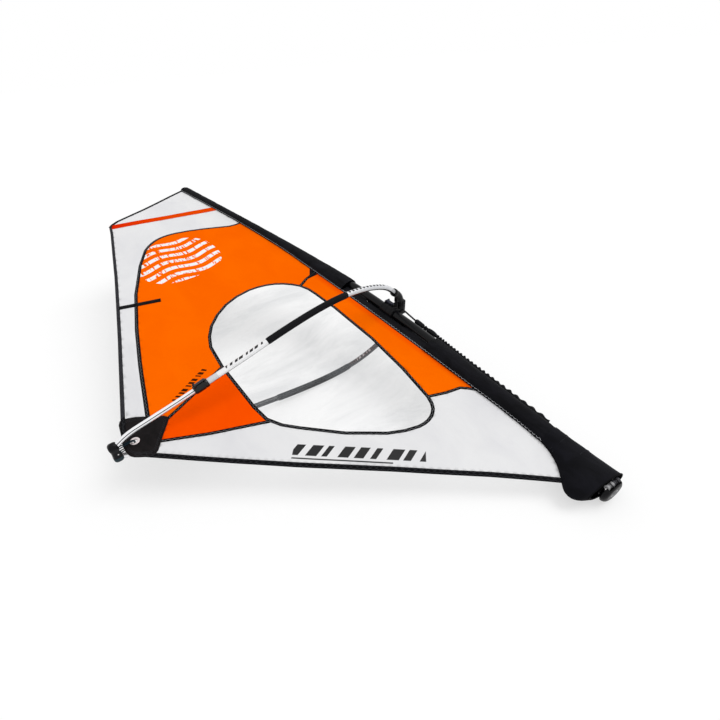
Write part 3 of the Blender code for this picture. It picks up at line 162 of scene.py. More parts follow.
def makeCamera():
    data = bpy.data.cameras.new("studioCamera")
    data.lens = camera["lens"]
    data.sensor_width = 36
    data.clip_start = 0.01
    data.clip_end = 300
    eye = bpy.data.objects.new("studioCamera", data)
    bpy.context.scene.collection.objects.link(eye)
    ahead = Vector(camera["ahead"]).normalized()
    right = Vector(camera["right"])
    right = (right - ahead * right.dot(ahead)).normalized()
    turn = Matrix((right, right.cross(ahead), -ahead)).transposed().to_4x4()
    eye.matrix_world = rigMatrix @ Matrix.Translation(camera["place"]) @ turn
    bpy.context.scene.camera = eye
    bpy.context.scene.view_settings.view_transform = "Standard"


makeCamera()
print("camera placed")


# material tools

def toLinear(hexColour):
    parts = [int(hexColour[i:i + 2], 16) / 255 for i in (1, 3, 5)]
    return tuple(c / 12.92 if c <= 0.04045 else ((c + 0.055) / 1.055) ** 2.4 for c in parts) + (1.0,)


def addNode(tree, kind, settings=None, links=None):
    # settings named after a socket or its number go to the socket, the rest to the node
    node = tree.nodes.new(kind)
    plain = {name: value for name, value in (settings or {}).items() if hasattr(node, str(name))}
    for name, value in plain.items():
        setattr(node, name, value)
    for name, value in (settings or {}).items():
        if name not in plain:
            node.inputs[name].default_value = value
    for name, source in (links or {}).items():
        tree.links.new(source, node.inputs[name])
    return node


def newMaterial(name, colour, roughness, metallic=0.0):
    made = bpy.data.materials.new(name)
    made.use_nodes = True
    shader = made.node_tree.nodes["Principled BSDF"]
    shader.inputs["Base Color"].default_value = toLinear(colour)
    shader.inputs["Roughness"].default_value = roughness
    shader.inputs["Metallic"].default_value = metallic
    return made, made.node_tree, shader


def rigCoordinates(tree):
    # Object coordinates turned back to the rig's frame
    place = addNode(tree, "ShaderNodeTexCoord")
    back = addNode(tree, "ShaderNodeMapping",
                   {"vector_type": "TEXTURE", "Location": rest["place"],
                    "Rotation": (rest["roll"], rest["pitch"], 0.0)},
                   {"Vector": place.outputs["Object"]})
    return back.outputs["Vector"]


def mathNode(tree, operation, *values):
    node = addNode(tree, "ShaderNodeMath", {"operation": operation})
    for socket, value in zip(node.inputs, values):
        if isinstance(value, (int, float)):
            socket.default_value = value
        else:
            tree.links.new(value, socket)
    return node.outputs[0]


def times(tree, first, second):
    return mathNode(tree, "MULTIPLY", first, second)


def ratio(tree, first, second):
    return mathNode(tree, "DIVIDE", first, second)


def mixColour(tree, factor, first, second):
    node = addNode(tree, "ShaderNodeMix", {"data_type": "RGBA"})
    for socket, value in ((node.inputs[0], factor), (node.inputs[6], first), (node.inputs[7], second)):
        if isinstance(value, (int, float, tuple)):
            socket.default_value = value
        else:
            tree.links.new(value, socket)
    return node.outputs[2]


def spread(tree, value, low, high, toLow=0.0, toHigh=1.0):
    limits = {"From Min": low, "From Max": high, "To Min": toLow, "To Max": toHigh}
    return addNode(tree, "ShaderNodeMapRange", limits, {"Value": value}).outputs[0]


def between(tree, value, low, high, soft=0.001):
    up = spread(tree, value, low - soft, low + soft)
    return times(tree, up, spread(tree, value, high - soft, high + soft, 1.0, 0.0))


def bumpFrom(tree, shader, height, strength, distance):
    bump = addNode(tree, "ShaderNodeBump", {"Strength": strength, "Distance": distance}, {"Height": height})
    tree.links.new(bump.outputs["Normal"], shader.inputs["Normal"])


def creases(tree, vector, size, squeeze=(1, 1, 1), detail=4.0):
    # noise of the given size in metres, drawn out along the axes that squeeze lowers
    scale = tuple(s / size for s in squeeze)
    scaled = addNode(tree, "ShaderNodeMapping", {"Scale": scale}, {"Vector": vector})
    rough = {"Scale": 1.0, "Detail": detail, "Roughness": 0.55, "Distortion": 0.6}
    return addNode(tree, "ShaderNodeTexNoise", rough, {"Vector": scaled.outputs["Vector"]}).outputs["Fac"]


def weave(tree, vector, thread):
    # plain weave: two crossed waves
    waves = []
    for axis in ("X", "Y"):
        bands = {"bands_direction": axis, "Scale": 1 / thread / pi, "Distortion": 0.0}
        waves.append(addNode(tree, "ShaderNodeTexWave", bands, {"Vector": vector}).outputs["Fac"])
    return times(tree, *waves)


def dotWith(tree, vector, side):
    dot = addNode(tree, "ShaderNodeVectorMath", {"operation": "DOT_PRODUCT", 1: side}, {0: vector})
    return dot.outputs["Value"]


def alongAcross(tree, where, start, end):
    # distances along and across a line in the sail's plane
    a = Vector(start)
    run = (Vector(end) - a).normalized()
    away = addNode(tree, "ShaderNodeVectorMath", {"operation": "SUBTRACT", 1: (a.x, a.y, 0)}, {0: where}).outputs[0]
    return [dotWith(tree, away, side) for side in ((run.x, run.y, 0), (-run.y, run.x, 0))]


def leaningBars(tree, along, across, length, half, pitch, lean, fill):
    cell = ratio(tree, mathNode(tree, "MULTIPLY_ADD", across, lean, along), pitch)
    uneven = mathNode(tree, "SINE", times(tree, mathNode(tree, "FLOOR", cell), 2.3))
    filled = mathNode(tree, "MULTIPLY_ADD", uneven, 0.2, fill)
    bar = mathNode(tree, "LESS_THAN", mathNode(tree, "FRACT", cell), filled)
    band = times(tree, between(tree, along, 0.0, length), between(tree, across, -half, half))
    return times(tree, bar, band)


# materials

def sailcloth(name, colour, deeper, printed=None, shine=0.30):
    # Laminated polyester sailcloth, calendered smooth: a low sheen over a faint ripstop weave,
    # soft creases where it was folded. Its thread is 0.3 mm, drawn at 1.5 mm so that it shows.
    # A matt colour sends neutral light on, so that the white floor keeps a grey shadow.
    made, tree, shader = newMaterial(name, colour, 0.42)
    where = rigCoordinates(tree)
    broad = creases(tree, where, 0.30, (1, 1.6, 1))
    fine = creases(tree, where, 0.045, (1.0, 0.5, 1))
    base = mixColour(tree, spread(tree, broad, 0.35, 0.75), toLinear(colour), toLinear(deeper))
    if printed:
        base = printed(tree, where, base)
    if shine == 0.0:
        bounced = addNode(tree, "ShaderNodeLightPath").outputs["Is Diffuse Ray"]
        base = mixColour(tree, bounced, base, toLinear("#A6A6A6"))
    tree.links.new(base, shader.inputs["Base Color"])
    height = mathNode(tree, "MULTIPLY_ADD", fine, 0.25, broad)
    height = mathNode(tree, "MULTIPLY_ADD", weave(tree, where, 0.0015), 0.02, height)
    bumpFrom(tree, shader, height, 0.30, 0.012)
    shader.inputs["Specular IOR Level"].default_value = shine
    return made


def printOnMain(tree, where, base):
    # white rippled stripes in an oval near the head, small dark bars near the clew
    along, across = alongAcross(tree, where, (2.38, 0.477), (2.38, 1.477))
    far = mathNode(tree, "ADD", *[
        mathNode(tree, "POWER", mathNode(tree, "ABSOLUTE", ratio(tree, value, half)), 2.6)
        for value, half in ((along, 0.235), (across, 0.245))])
    ripple = times(tree, mathNode(tree, "SINE", times(tree, along, 21.0)), 0.020)
    stripe = mathNode(tree, "FRACT", ratio(tree, mathNode(tree, "ADD", across, ripple), 0.078))
    worn = mathNode(tree, "GREATER_THAN", creases(tree, where, 0.030, (0.35, 2.4, 1)), 0.43)
    mark = times(tree, mathNode(tree, "LESS_THAN", far, 1.0), mathNode(tree, "LESS_THAN", stripe, 0.46))
    base = mixColour(tree, times(tree, mark, worn), base, toLinear("#F4F4F4"))
    along, across = alongAcross(tree, where, (1.400, 0.770), (1.300, 0.960))
    small = leaningBars(tree, along, across, 0.20, 0.012, 0.021, 0.25, 0.55)
    return mixColour(tree, small, base, toLinear("#401C0C"))


def printOnFoot(tree, where, base):
    # a row of leaning black bars beside the foot tape, with a thin line under it
    along, across = alongAcross(tree, where, (0.805, 0.712), (0.470, 0.363))
    wide = leaningBars(tree, along, across, 0.475, 0.024, 0.058, -0.5, 0.55)
    thin = times(tree, between(tree, along, 0.0, 0.36), between(tree, across, -0.040, -0.034))
    return mixColour(tree, mathNode(tree, "MAXIMUM", wide, thin), base, toLinear("#0E0E10"))


def luffShadeBySleeve(tree, where, base):
    # painted shade: the luff panel is painted deeper in colour beside the sleeve
    across = dotWith(tree, where, Vector((0.012, 1.0, 0.0)))
    return mixColour(tree, spread(tree, across, -0.020, 0.012, 0.60, 0.0), base, toLinear("#F04000"))


def redderEnd(tree, where, base):
    # the pocket's leech end is redder
    across = addNode(tree, "ShaderNodeSeparateXYZ", {}, {0: where}).outputs["Y"]
    return mixColour(tree, spread(tree, across, 0.30, 0.62, 0.0, 1.0), base, toLinear("#E02600"))


whiteCloth = sailcloth("laminatedSailclothWhite", "#E8E8E9", "#DDDDE0")
footCloth = sailcloth("laminatedSailclothPrinted", "#E8E8E9", "#DDDDE0", printOnFoot)
orangeCloth = sailcloth("laminatedSailclothOrange", "#FF6A00", "#FA6300", printOnMain, 0.0)
luffCloth = sailcloth("laminatedSailclothLuff", "#FF6E00", "#FA6500", luffShadeBySleeve, 0.0)
clewCloth = sailcloth("laminatedSailclothClew", "#FF5500", "#FA4E00", None, 0.0)
battenCloth = sailcloth("battenPocketDacron", "#EA4800", "#E64200", redderEnd, 0.0)


def windowFilm():
    # Clear monofilm, 0.2 mm thick: glossy, with long soft folds, painted greyer along them as painted shade
    made, tree, shader = newMaterial("windowMonofilm", "#F0F1F2", 0.14)
    where = rigCoordinates(tree)
    broad = creases(tree, where, 0.20, (1.0, 0.45, 1))
    fine = creases(tree, where, 0.055, (1.0, 0.35, 1))
    # painted shade: the folds are painted greyer and less clear
    grey = mixColour(tree, spread(tree, broad, 0.42, 0.66), toLinear("#E4E6E8"), toLinear("#A4A9AE"))
    tree.links.new(grey, shader.inputs["Base Color"])
    bumpFrom(tree, shader, mathNode(tree, "MULTIPLY_ADD", fine, 0.30, broad), 0.55, 0.020)
    tree.links.new(spread(tree, broad, 0.42, 0.66, 0.02, 0.14), shader.inputs["Alpha"])
    shader.inputs["Specular IOR Level"].default_value = 0.25
    return made


filmClear = windowFilm()


def wovenCloth(name, colour, lighter, thread, crease, strength, shine=0.06, printed=None):
    # Woven polyester: matt, with folds painted paler as a painted sheen, and thread of the given width
    made, tree, shader = newMaterial(name, colour, 0.78)
    where = rigCoordinates(tree)
    folds = creases(tree, where, crease, (0.8, 1.5, 1.5))
    # painted sheen: the folds are painted in the paler colour
    base = mixColour(tree, spread(tree, folds, 0.35, 0.75), toLinear(colour), toLinear(lighter))
    if printed:
        base = printed(tree, where, base)
    tree.links.new(base, shader.inputs["Base Color"])
    height = mathNode(tree, "MULTIPLY_ADD", weave(tree, where, thread), 0.06, folds)
    bumpFrom(tree, shader, height, strength, 0.008)
    shader.inputs["Specular IOR Level"].default_value = shine
    return made


def blackEnd(tree, where, base):
    # the leech tape is doubled with black tape beside the clew
    along = addNode(tree, "ShaderNodeSeparateXYZ", {}, {0: where}).outputs["X"]
    return mixColour(tree, spread(tree, along, 1.350, 1.354, 1.0, 0.0), base, toLinear("#0C0C0E"))


sleeveCloth = wovenCloth("sleeveWovenPolyester", "#08080B", "#15151A", 0.0030, 0.060, 0.45, 0.08)
padCloth = wovenCloth("padCordura", "#08080C", "#14141A", 0.0030, 0.070, 0.35, 0.08)
tapeCloth = wovenCloth("seamTapeDacron", "#08080A", "#101013", 0.0025, 0.030, 0.25)
leechCloth = wovenCloth("leechTapeDacron", "#2A2A2D", "#343438", 0.0025, 0.030, 0.20, 0.06, blackEnd)
patchCloth = wovenCloth("clewPatchDacron", "#0E0B0C", "#1C1819", 0.0025, 0.045, 0.30, 0.10)


def grained(name, colour, lighter, roughness, metallic, grain, depth, shine=0.5):
    # one colour broken by a grain of the given size in metres, in tone, gloss and height
    made, tree, shader = newMaterial(name, colour, roughness, metallic)
    where = addNode(tree, "ShaderNodeTexCoord").outputs["Object"]
    fine = {"Scale": 1.0 / grain, "Detail": 3.0}
    speck = addNode(tree, "ShaderNodeTexNoise", fine, {"Vector": where}).outputs["Fac"]
    tree.links.new(mixColour(tree, spread(tree, speck, 0.3, 0.7), toLinear(colour), toLinear(lighter)),
                   shader.inputs["Base Color"])
    tree.links.new(spread(tree, speck, 0.0, 1.0, roughness * 0.8, roughness * 1.2), shader.inputs["Roughness"])
    bumpFrom(tree, shader, speck, depth, 0.3 * grain)
    shader.inputs["Specular IOR Level"].default_value = shine
    return made


# Wound glass fibre under clear resin: one long soft highlight
mastGlass = grained("mastGlassFibre", "#08080A", "#101013", 0.22, 0.0, 0.004, 0.10, 0.15)
# Injection-moulded nylon, spark-eroded, 1.5 mm mottling
nylonBlack = grained("mouldedNylonBlack", "#050507", "#0C0C0F", 0.36, 0.0, 0.0015, 0.18, 0.13)
nylonGloss = grained("mouldedNylonGloss", "#070709", "#0E0E11", 0.20, 0.0, 0.0015, 0.08, 0.30)
nylonGrey = grained("mouldedNylonGrey", "#8B8B8D", "#9C9C9E", 0.45, 0.0, 0.0015, 0.12)
nylonDark = grained("mouldedNylonDark", "#303034", "#3C3C42", 0.42, 0.0, 0.0015, 0.12, 0.25)
nylonTeal = grained("mouldedNylonTeal", "#061C23", "#0C2B34", 0.34, 0.0, 0.0015, 0.15, 0.25)
nylonBlue = grained("mouldedNylonBlue", "#121624", "#1D2336", 0.34, 0.0, 0.0015, 0.15, 0.25)
# Turned stainless steel: bright, with fine scratches
steelBright = grained("turnedStainless", "#D2CFCF", "#E6E2E2", 0.22, 1.0, 0.002, 0.06)
# Pressed brass grommet plated pale, a little dull
grommetPlate = grained("platedGrommet", "#D9CDCD", "#EFE6E6", 0.35, 0.6, 0.002, 0.05)
# Closed-cell EVA foam, moulded with a fine pebble
gripFoam = grained("gripEvaFoam", "#09090B", "#131317", 0.72, 0.0, 0.004, 0.55, 0.10)
rubberDark = grained("rubberLiner", "#101011", "#1A1A1C", 0.80, 0.0, 0.003, 0.20, 0.15)
threadGrey = grained("polyesterThreadGrey", "#76777B", "#8A8B8F", 0.55, 0.0, 0.002, 0.20)
threadPale = grained("polyesterThreadPale", "#9C9DA1", "#B4B5B8", 0.55, 0.0, 0.002, 0.20)
threadDark = grained("polyesterThreadDark", "#2E2F33", "#3B3C41", 0.60, 0.0, 0.002, 0.20, 0.20)
threadRed = grained("polyesterThreadOrange", "#E85410", "#F06418", 0.60, 0.0, 0.002, 0.20, 0.20)


def runAndTurn(tree):
    # metres along a swept surface, and the share of a turn round it
    uv = addNode(tree, "ShaderNodeUVMap", {"uv_map": "run"}).outputs["UV"]
    split = addNode(tree, "ShaderNodeSeparateXYZ", {}, {0: uv})
    return split.outputs["X"], split.outputs["Y"]


def braided(name, colour, lighter, pitch):
    # Braided polyester rope: two crossed spirals of strands, the pitch in metres
    made, tree, shader = newMaterial(name, colour, 0.70)
    run, turn = runAndTurn(tree)
    shader.inputs["Specular IOR Level"].default_value = 0.12
    waves = []
    for lean in (4.0, -4.0):
        phase = mathNode(tree, "MULTIPLY_ADD", turn, lean, ratio(tree, run, pitch))
        waves.append(mathNode(tree, "SINE", times(tree, phase, 2 * pi)))
    height = times(tree, *waves)
    tree.links.new(mixColour(tree, spread(tree, height, -1.0, 1.0), toLinear(colour), toLinear(lighter)),
                   shader.inputs["Base Color"])
    bumpFrom(tree, shader, height, 0.6, 0.001)
    return made


ropeBlack = braided("braidedRopeBlack", "#09090B", "#1B1B1F", 0.010)
ropeBlue = braided("braidedRopeBlue", "#07141C", "#143442", 0.008)
webBlack = braided("gatheredWebbingBlack", "#09090B", "#1A1A1E", 0.012)


def boomTube():
    # Aluminium tube in a satin coat, pale grey, with painted shade and dark reflection over its inner half: black
    # height marks near the head, and a white label with leaning bars behind the grip.
    made, tree, shader = newMaterial("coatedBoomTube", "#D6D7DA", 0.28, 0.1)
    run, turn = runAndTurn(tree)
    turned = mathNode(tree, "SUBTRACT", mathNode(tree, "FRACT", mathNode(tree, "ADD", turn, 0.5)), 0.5)
    tooth = mathNode(tree, "LESS_THAN", mathNode(tree, "FRACT", ratio(tree, run, 0.0200)), 0.55)
    teeth = times(tree, times(tree, tooth, between(tree, turned, -0.10, 0.19)),
                  between(tree, run, 0.120, 0.330))
    bars = leaningBars(tree, run, mathNode(tree, "SUBTRACT", turned, 0.015), 2.0, 0.105, 0.024, 0.05, 0.60)
    bars = times(tree, bars, between(tree, run, 0.770, 0.945))
    # painted shade and dark reflection: the inner half of the tube is painted black
    dark = between(tree, turn, 0.19, 0.700, 0.004)
    pale = leaningBars(tree, run, mathNode(tree, "SUBTRACT", turn, 0.47), 2.0, 0.075, 0.022, 0.03, 0.45)
    pale = times(tree, pale, between(tree, run, 0.200, 0.300))
    base = mixColour(tree, between(tree, run, 0.755, 0.985), toLinear("#D2D3D6"), toLinear("#F0F0F1"))
    base = mixColour(tree, between(tree, run, -0.1, 0.063), base, toLinear("#B4B5B8"))
    printAndShade = mathNode(tree, "MAXIMUM", dark, mathNode(tree, "MAXIMUM", teeth, bars))
    printAndShade = mathNode(tree, "SUBTRACT", printAndShade, pale)
    tree.links.new(mixColour(tree, printAndShade, base, toLinear("#0A0A0C")), shader.inputs["Base Color"])
    where = addNode(tree, "ShaderNodeTexCoord").outputs["Object"]
    scuff = creases(tree, where, 0.010, (1.0, 0.12, 1.0))
    tree.links.new(spread(tree, scuff, 0.3, 0.7, 0.22, 0.36), shader.inputs["Roughness"])
    bumpFrom(tree, shader, scuff, 0.04, 0.004)
    return made


def tailTube():
    # Polished aluminium tube, with a painted dark reflection line along its outer side and painted dark reflections
    # near its edges
    made, tree, shader = newMaterial("polishedAluminium", "#F6F6F8", 0.16, 0.55)
    turn = runAndTurn(tree)[1]
    # painted reflection: a dark line and two dark bands round the tube, painted into its colour
    paintedReflectionLine = between(tree, turn, 0.838, 0.888, 0.004)
    edges = mathNode(tree, "MAXIMUM", between(tree, turn, 0.560, 0.705, 0.01),
                     between(tree, turn, 0.085, 0.180, 0.01))
    base = mixColour(tree, times(tree, edges, 0.85), toLinear("#F6F6F8"), toLinear("#3C3D42"))
    tree.links.new(mixColour(tree, paintedReflectionLine, base, toLinear("#26262A")), shader.inputs["Base Color"])
    where = addNode(tree, "ShaderNodeTexCoord").outputs["Object"]
    scuff = creases(tree, where, 0.006, (1.0, 0.10, 1.0))
    tree.links.new(spread(tree, scuff, 0.3, 0.7, 0.12, 0.22), shader.inputs["Roughness"])
    bumpFrom(tree, shader, scuff, 0.03, 0.003)
    return made


tubeCoat = boomTube()
alloyPolished = tailTube()


# mesh tools

def linked(name, data):
    made = bpy.data.objects.new(name, data)
    bpy.context.scene.collection.objects.link(made)
    return made


def addPiece(name, bm, body, finish, matrix=rigMatrix, sharp=50, nodes=()):
    # nodes are the frame's solids that the piece stands for; they are hidden
    bmesh.ops.recalc_face_normals(bm, faces=bm.faces)
    mesh = bpy.data.meshes.new(name)
    bm.to_mesh(mesh)
    bm.free()
    mesh.transform(matrix)
    piece = linked(name, mesh)
    for one in finish if isinstance(finish, list) else [finish]:
        mesh.materials.append(one)
    mesh.shade_smooth()
    mesh.set_sharp_from_angle(angle=radians(sharp))
    if body:
        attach(piece, body)
    if nodes:
        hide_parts(*nodes)
    return piece


def newMesh():
    bm = bmesh.new()
    bm.loops.layers.uv.new("run")
    return bm


def joinRings(bm, rings, closed=False, caps=True, runs=None):
    uv = bm.loops.layers.uv["run"]
    sides = len(rings[0])
    runs = runs or [0.0] * (len(rings) + 1)
    for i in range(len(rings) if closed else len(rings) - 1):
        a, b = rings[i], rings[(i + 1) % len(rings)]
        for k in range(sides):
            j = (k + 1) % sides
            face = bm.faces.new((a[k], a[j], b[j], b[k]))
            for loop, (u, v) in zip(face.loops, ((i, k), (i, k + 1), (i + 1, k + 1), (i + 1, k))):
                loop[uv].uv = (runs[u], v / sides)
    if caps and not closed:
        for ring in (rings[0], rings[-1]):
            bm.faces.new(ring)


def sweepRings(bm, points, radii, sides=16, hint=(0, 0, 1), flat=1.0, closed=False, shape=None):
    pts = [Vector(p) for p in points]
    count = len(pts)
    if isinstance(radii, float):
        radii = [radii] * count
    rings, runs, run = [], [], 0.0
    for i, p in enumerate(pts):
        before = pts[i - 1] if closed or i > 0 else p
        after = pts[(i + 1) % count] if closed or i + 1 < count else p
        along = (after - before).normalized()
        side = Vector(hint) - along * Vector(hint).dot(along)
        side = side.normalized() if side.length > 0.02 else along.orthogonal().normalized()
        other = along.cross(side)
        run += (p - pts[i - 1]).length if i else 0.0
        runs.append(run)
        ring = []
        for k in range(sides):
            turn = 2 * pi * k / sides
            swell = shape(i / (count - 1), turn) if shape else 1.0
            ring.append(bm.verts.new(p + (side * cos(turn) + other * sin(turn) * flat) * radii[i] * swell))
        rings.append(ring)
    return rings, runs + [run + (pts[0] - pts[-1]).length]


def sweepInto(bm, points, radii, sides=16, hint=(0, 0, 1), flat=1.0, closed=False, shape=None):
    rings, runs = sweepRings(bm, points, radii, sides, hint, flat, closed, shape)
    joinRings(bm, rings, closed, True, runs)


def bridge(bm, a, b):
    # a band of faces from one ring to another
    for k in range(len(a)):
        j = (k + 1) % len(a)
        bm.faces.new((a[k], a[j], b[j], b[k]))


def pipeInto(bm, points, outside, inside, sides=32, hint=(0, 0, 1)):
    # an outer and an inner skin joined at both ends
    outer, runs = sweepRings(bm, points, outside, sides, hint)
    inner, _ = sweepRings(bm, points, inside, sides, hint)
    joinRings(bm, outer, False, False, runs)
    joinRings(bm, inner, False, False, runs)
    bridge(bm, outer[0], inner[0])
    bridge(bm, outer[-1], inner[-1])


def tubeInto(bm, points, radii, wall, sides=32, hint=(0, 0, 1)):
    if isinstance(radii, float):
        radii = [radii] * len(points)
    pipeInto(bm, points, radii, [r - wall for r in radii], sides, hint)


def spunInto(bm, profile, matrix=Matrix(), steps=64, ring=False):
    # (radius, height) pairs turned about local Z; ring closes the profile on itself
    columns = []
    for k in range(steps):
        turn = 2 * pi * k / steps
        columns.append([matrix @ Vector((r * cos(turn), r * sin(turn), h)) for r, h in profile])
    rows = []
    for i, (r, h) in enumerate(profile):
        rows.append([bm.verts.new(matrix @ Vector((0, 0, h)))] * steps if r < 1e-6
                    else [bm.verts.new(column[i]) for column in columns])
    spans = list(zip(rows, rows[1:])) + ([(rows[-1], rows[0])] if ring else [])
    for a, b in spans:
        for k in range(steps):
            j = (k + 1) % steps
            corners = []
            for vert in (a[k], a[j], b[j], b[k]):
                if vert not in corners:
                    corners.append(vert)
            if len(corners) > 2:
                bm.faces.new(corners)


def boxInto(bm, low, high, bevel=0.0, segments=3, matrix=Matrix()):
    made = bmesh.ops.create_cube(bm, size=1.0)
    verts = made["verts"]
    for vert in verts:
        vert.co = Vector([low[i] + (high[i] - low[i]) * (vert.co[i] + 0.5) for i in range(3)])
    faces = set(face for vert in verts for face in vert.link_faces)
    if bevel:
        edges = list(set(edge for vert in verts for edge in vert.link_edges))
        result = bmesh.ops.bevel(bm, geom=edges, offset=bevel, segments=segments, profile=0.5, affect="EDGES")
        faces = set(result["faces"]) | set(f for f in faces if f.is_valid)
    for vert in set(v for face in faces for v in face.verts):
        vert.co = matrix @ vert.co


def sliceAt(bm, axis, at, snap=0.00002):
    # adds edges where the plane at that place on the axis crosses the mesh
    place, normal = Vector(), Vector()
    place[axis], normal[axis] = at, 1.0
    geom = bm.verts[:] + bm.edges[:] + bm.faces[:]
    bmesh.ops.bisect_plane(bm, geom=geom, plane_co=place, plane_no=normal, dist=snap)


def rollerProfile(r, half, edge, shoulder, waist):
    # a waisted roller with an axle hole, edge, shoulder and waist as shares of its sizes
    bore = 0.0029
    return [(bore, half), (r, half), (r, half * edge), (r * shoulder, half * 0.4), (r * waist, 0.0),
            (r * shoulder, -half * 0.4), (r, -half * edge), (r, -half), (bore, -half)]


def carve(piece, tools, operation="DIFFERENCE"):
    # cuts, or joins on, each tool mesh and leaves a plain mesh; tools are (bm, matrix) pairs
    for bm, matrix in tools:
        bmesh.ops.recalc_face_normals(bm, faces=bm.faces)
        mesh = bpy.data.meshes.new("tool")
        bm.to_mesh(mesh)
        bm.free()
        mesh.transform(matrix)
        tool = linked("tool", mesh)
        step = piece.modifiers.new("cut", "BOOLEAN")
        step.operation = operation
        step.solver = "EXACT"
        step.object = tool
        bpy.context.view_layer.update()
        graph = bpy.context.evaluated_depsgraph_get()
        cutMesh = bpy.data.meshes.new_from_object(piece.evaluated_get(graph))
        piece.modifiers.remove(step)
        old = piece.data
        piece.data = cutMesh
        cutMesh.name = piece.name
        bpy.data.meshes.remove(old)
        bpy.data.objects.remove(tool, do_unlink=True)
        bpy.data.meshes.remove(mesh)
    piece.data.shade_smooth()
    piece.data.set_sharp_from_angle(angle=radians(35))
    return piece


def rodTool(start, end, radius, steps=32):
    start, end = Vector(start), Vector(end)
    bm = newMesh()
    turn = (end - start).to_track_quat("Z", "Y").to_matrix().to_4x4()
    length = (end - start).length
    profile = [(0.0, 0.0), (radius, 0.0), (radius, length), (0.0, length)]
    spunInto(bm, profile, Matrix.Translation(start) @ turn, steps)
    return bm


# cords: the uphaul's thin line with its grip and knots, then the gathered elastic

uphaul = {
    "line": [(1.153, -0.1745), (1.110, -0.1680), (1.066, -0.161), (1.020, -0.156), (0.960, -0.1528),
             (0.910, -0.1500), (0.905, -0.1497)],
    "elastic": [(0.905, -0.1497), (0.900, -0.1494), (0.760, -0.1352), (0.620, -0.1235),
                (0.480, -0.1131), (0.290, -0.0997)],
    "lineRadius": 0.0042, "gripRadius": 0.0122, "gripX": (1.064, 1.002), "knotX": 0.990,
    "swellX": (0.976, 0.912), "elasticRadius": 0.0068, "swell": 0.0034, "pitch": 0.0170, "pitchGrows": 0.55,
}


def makeUphaul():
    line = evenLine([Vector((p.x, p.y, 0)) for p in smoothLine(uphaul["line"], 0.004)], 0.004)
    bm = newMesh()
    sweepInto(bm, line, uphaul["lineRadius"], 10)
    rope = addPiece("uphaul-line", bm, "clamp", ropeBlack, nodes=["uphaul_rope"])

    def stretchOf(high, low):
        return [p for p in line if low <= p.x <= high]

    bm = newMesh()
    grip = evenLine(stretchOf(*uphaul["gripX"]), 0.0015)
    radii = []
    for i in range(len(grip)):
        reach = i / (len(grip) - 1)
        ends = min(1.0, min(reach, 1 - reach) * 7) ** 0.5
        radii.append(uphaul["gripRadius"] * (0.45 + 0.55 * ends) * (1 + 0.05 * sin(i * 2 * pi / 4)))
    sweepInto(bm, grip, radii, 24)
    gripPiece = addPiece("uphaul-grip", bm, "clamp", webBlack)

    bm = newMesh()
    middle = min(line, key=lambda p: abs(p.x - uphaul["knotX"]))
    coil = []
    for k in range(72):
        turn = 2 * pi * k / 72
        wide = 0.0070 + 0.0020 * cos(3 * turn)
        coil.append(middle + Vector((0.0066 * sin(3 * turn), wide * cos(2 * turn), wide * sin(2 * turn))))
    sweepInto(bm, coil, 0.0034, 10, hint=(1, 0, 0), closed=True)
    knot = addPiece("uphaul-knot", bm, "clamp", ropeBlack)

    bm = newMesh()
    swell = evenLine(stretchOf(*uphaul["swellX"]), 0.0015)
    radii = []
    for i in range(len(swell)):
        reach = i / (len(swell) - 1)
        radii.append(0.0056 + 0.0070 * sin(pi * min(1.0, reach * 0.85 + 0.15)) ** 0.7 + 0.0005 * sin(i * 1.7))
    sweepInto(bm, swell, radii, 24)
    loop = addPiece("uphaul-spliced-loop", bm, "clamp", webBlack)

    path = evenLine([Vector((p.x, p.y, 0)) for p in smoothLine(uphaul["elastic"], 0.004)], 0.0020)
    radii, run = [], 0.0
    for i, p in enumerate(path):
        run += (p - path[i - 1]).length if i else 0.0
        beat = cos(2 * pi * run / uphaul["pitch"] * (1 - uphaul["pitchGrows"] * run) + 0.5 * sin(run * 21))
        radii.append(uphaul["elasticRadius"] - uphaul["swell"] * beat * (0.88 + 0.12 * sin(run * 47)))

    def gathered(reach, turn):
        return 1 + 0.03 * sin(9 * turn + reach * 60) + 0.02 * sin(5 * turn - reach * 90)

    bm = newMesh()
    sweepInto(bm, path, radii, 20, shape=gathered)
    elastic = addPiece("uphaul-elastic", bm, None, webBlack, nodes=["uphaul_elastic"])
    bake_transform(elastic)


makeUphaul()
print("uphaul made")


# sail

sail = {
    "thick": 0.0006, "tapeThick": 0.0012, "tuck": 0.0035, "cell": 0.020, "lap": 0.0018,
    "laps": {"head_tape": 0.0045, "foot_tape": 0.0004, "leech_seam_tape": 0.0030, "gusset_seam_tape": 0.0030},
    "billow": 0.0060, "ripple": 0.0018, "gutter": (1.030, 1.375), "gutterRadius": 0.0328,
    "leechEnd": [(1.345, 1.135), (1.290, 1.152), (1.240, 1.168)],
    "gussetCorner": [(1.712, -0.046), (1.790, -0.048), (1.730, -0.006), (1.722, 0.016), (1.710, 0.014)],
    "corners": (((1.206, 1.138), 0.55, 9), ((0.080, 0.050), 0.40, 7), ((3.320, 0.030), 0.40, 7)),
}


def sailHeight(x, y):
    # gentle billows held flat at the sleeve and clew, with shallow folds fanning from the corners
    off = max(0.0, y - heightOn(sleeve["rear"], x)) if x > 0.25 else max(0.0, y)
    height = sail["billow"] * noise.noise(Vector((x * 1.6, y * 2.3, 3.1)))
    for (cx, cy), reach, folds in sail["corners"]:
        far = hypot(x - cx, y - cy)
        height += sail["ripple"] * exp(-far / reach) * ease(0.12, 0.35, far) * sin(folds * atan2(y - cy, x - cx))
    height += 0.0009 * noise.noise(Vector((x * 9.0, y * 4.0, 7.7)))
    clew = hypot(x - sail["corners"][0][0][0], y - sail["corners"][0][0][1])
    return height * ease(0.0, 0.16, off) * ease(0.05, 0.30, clew)


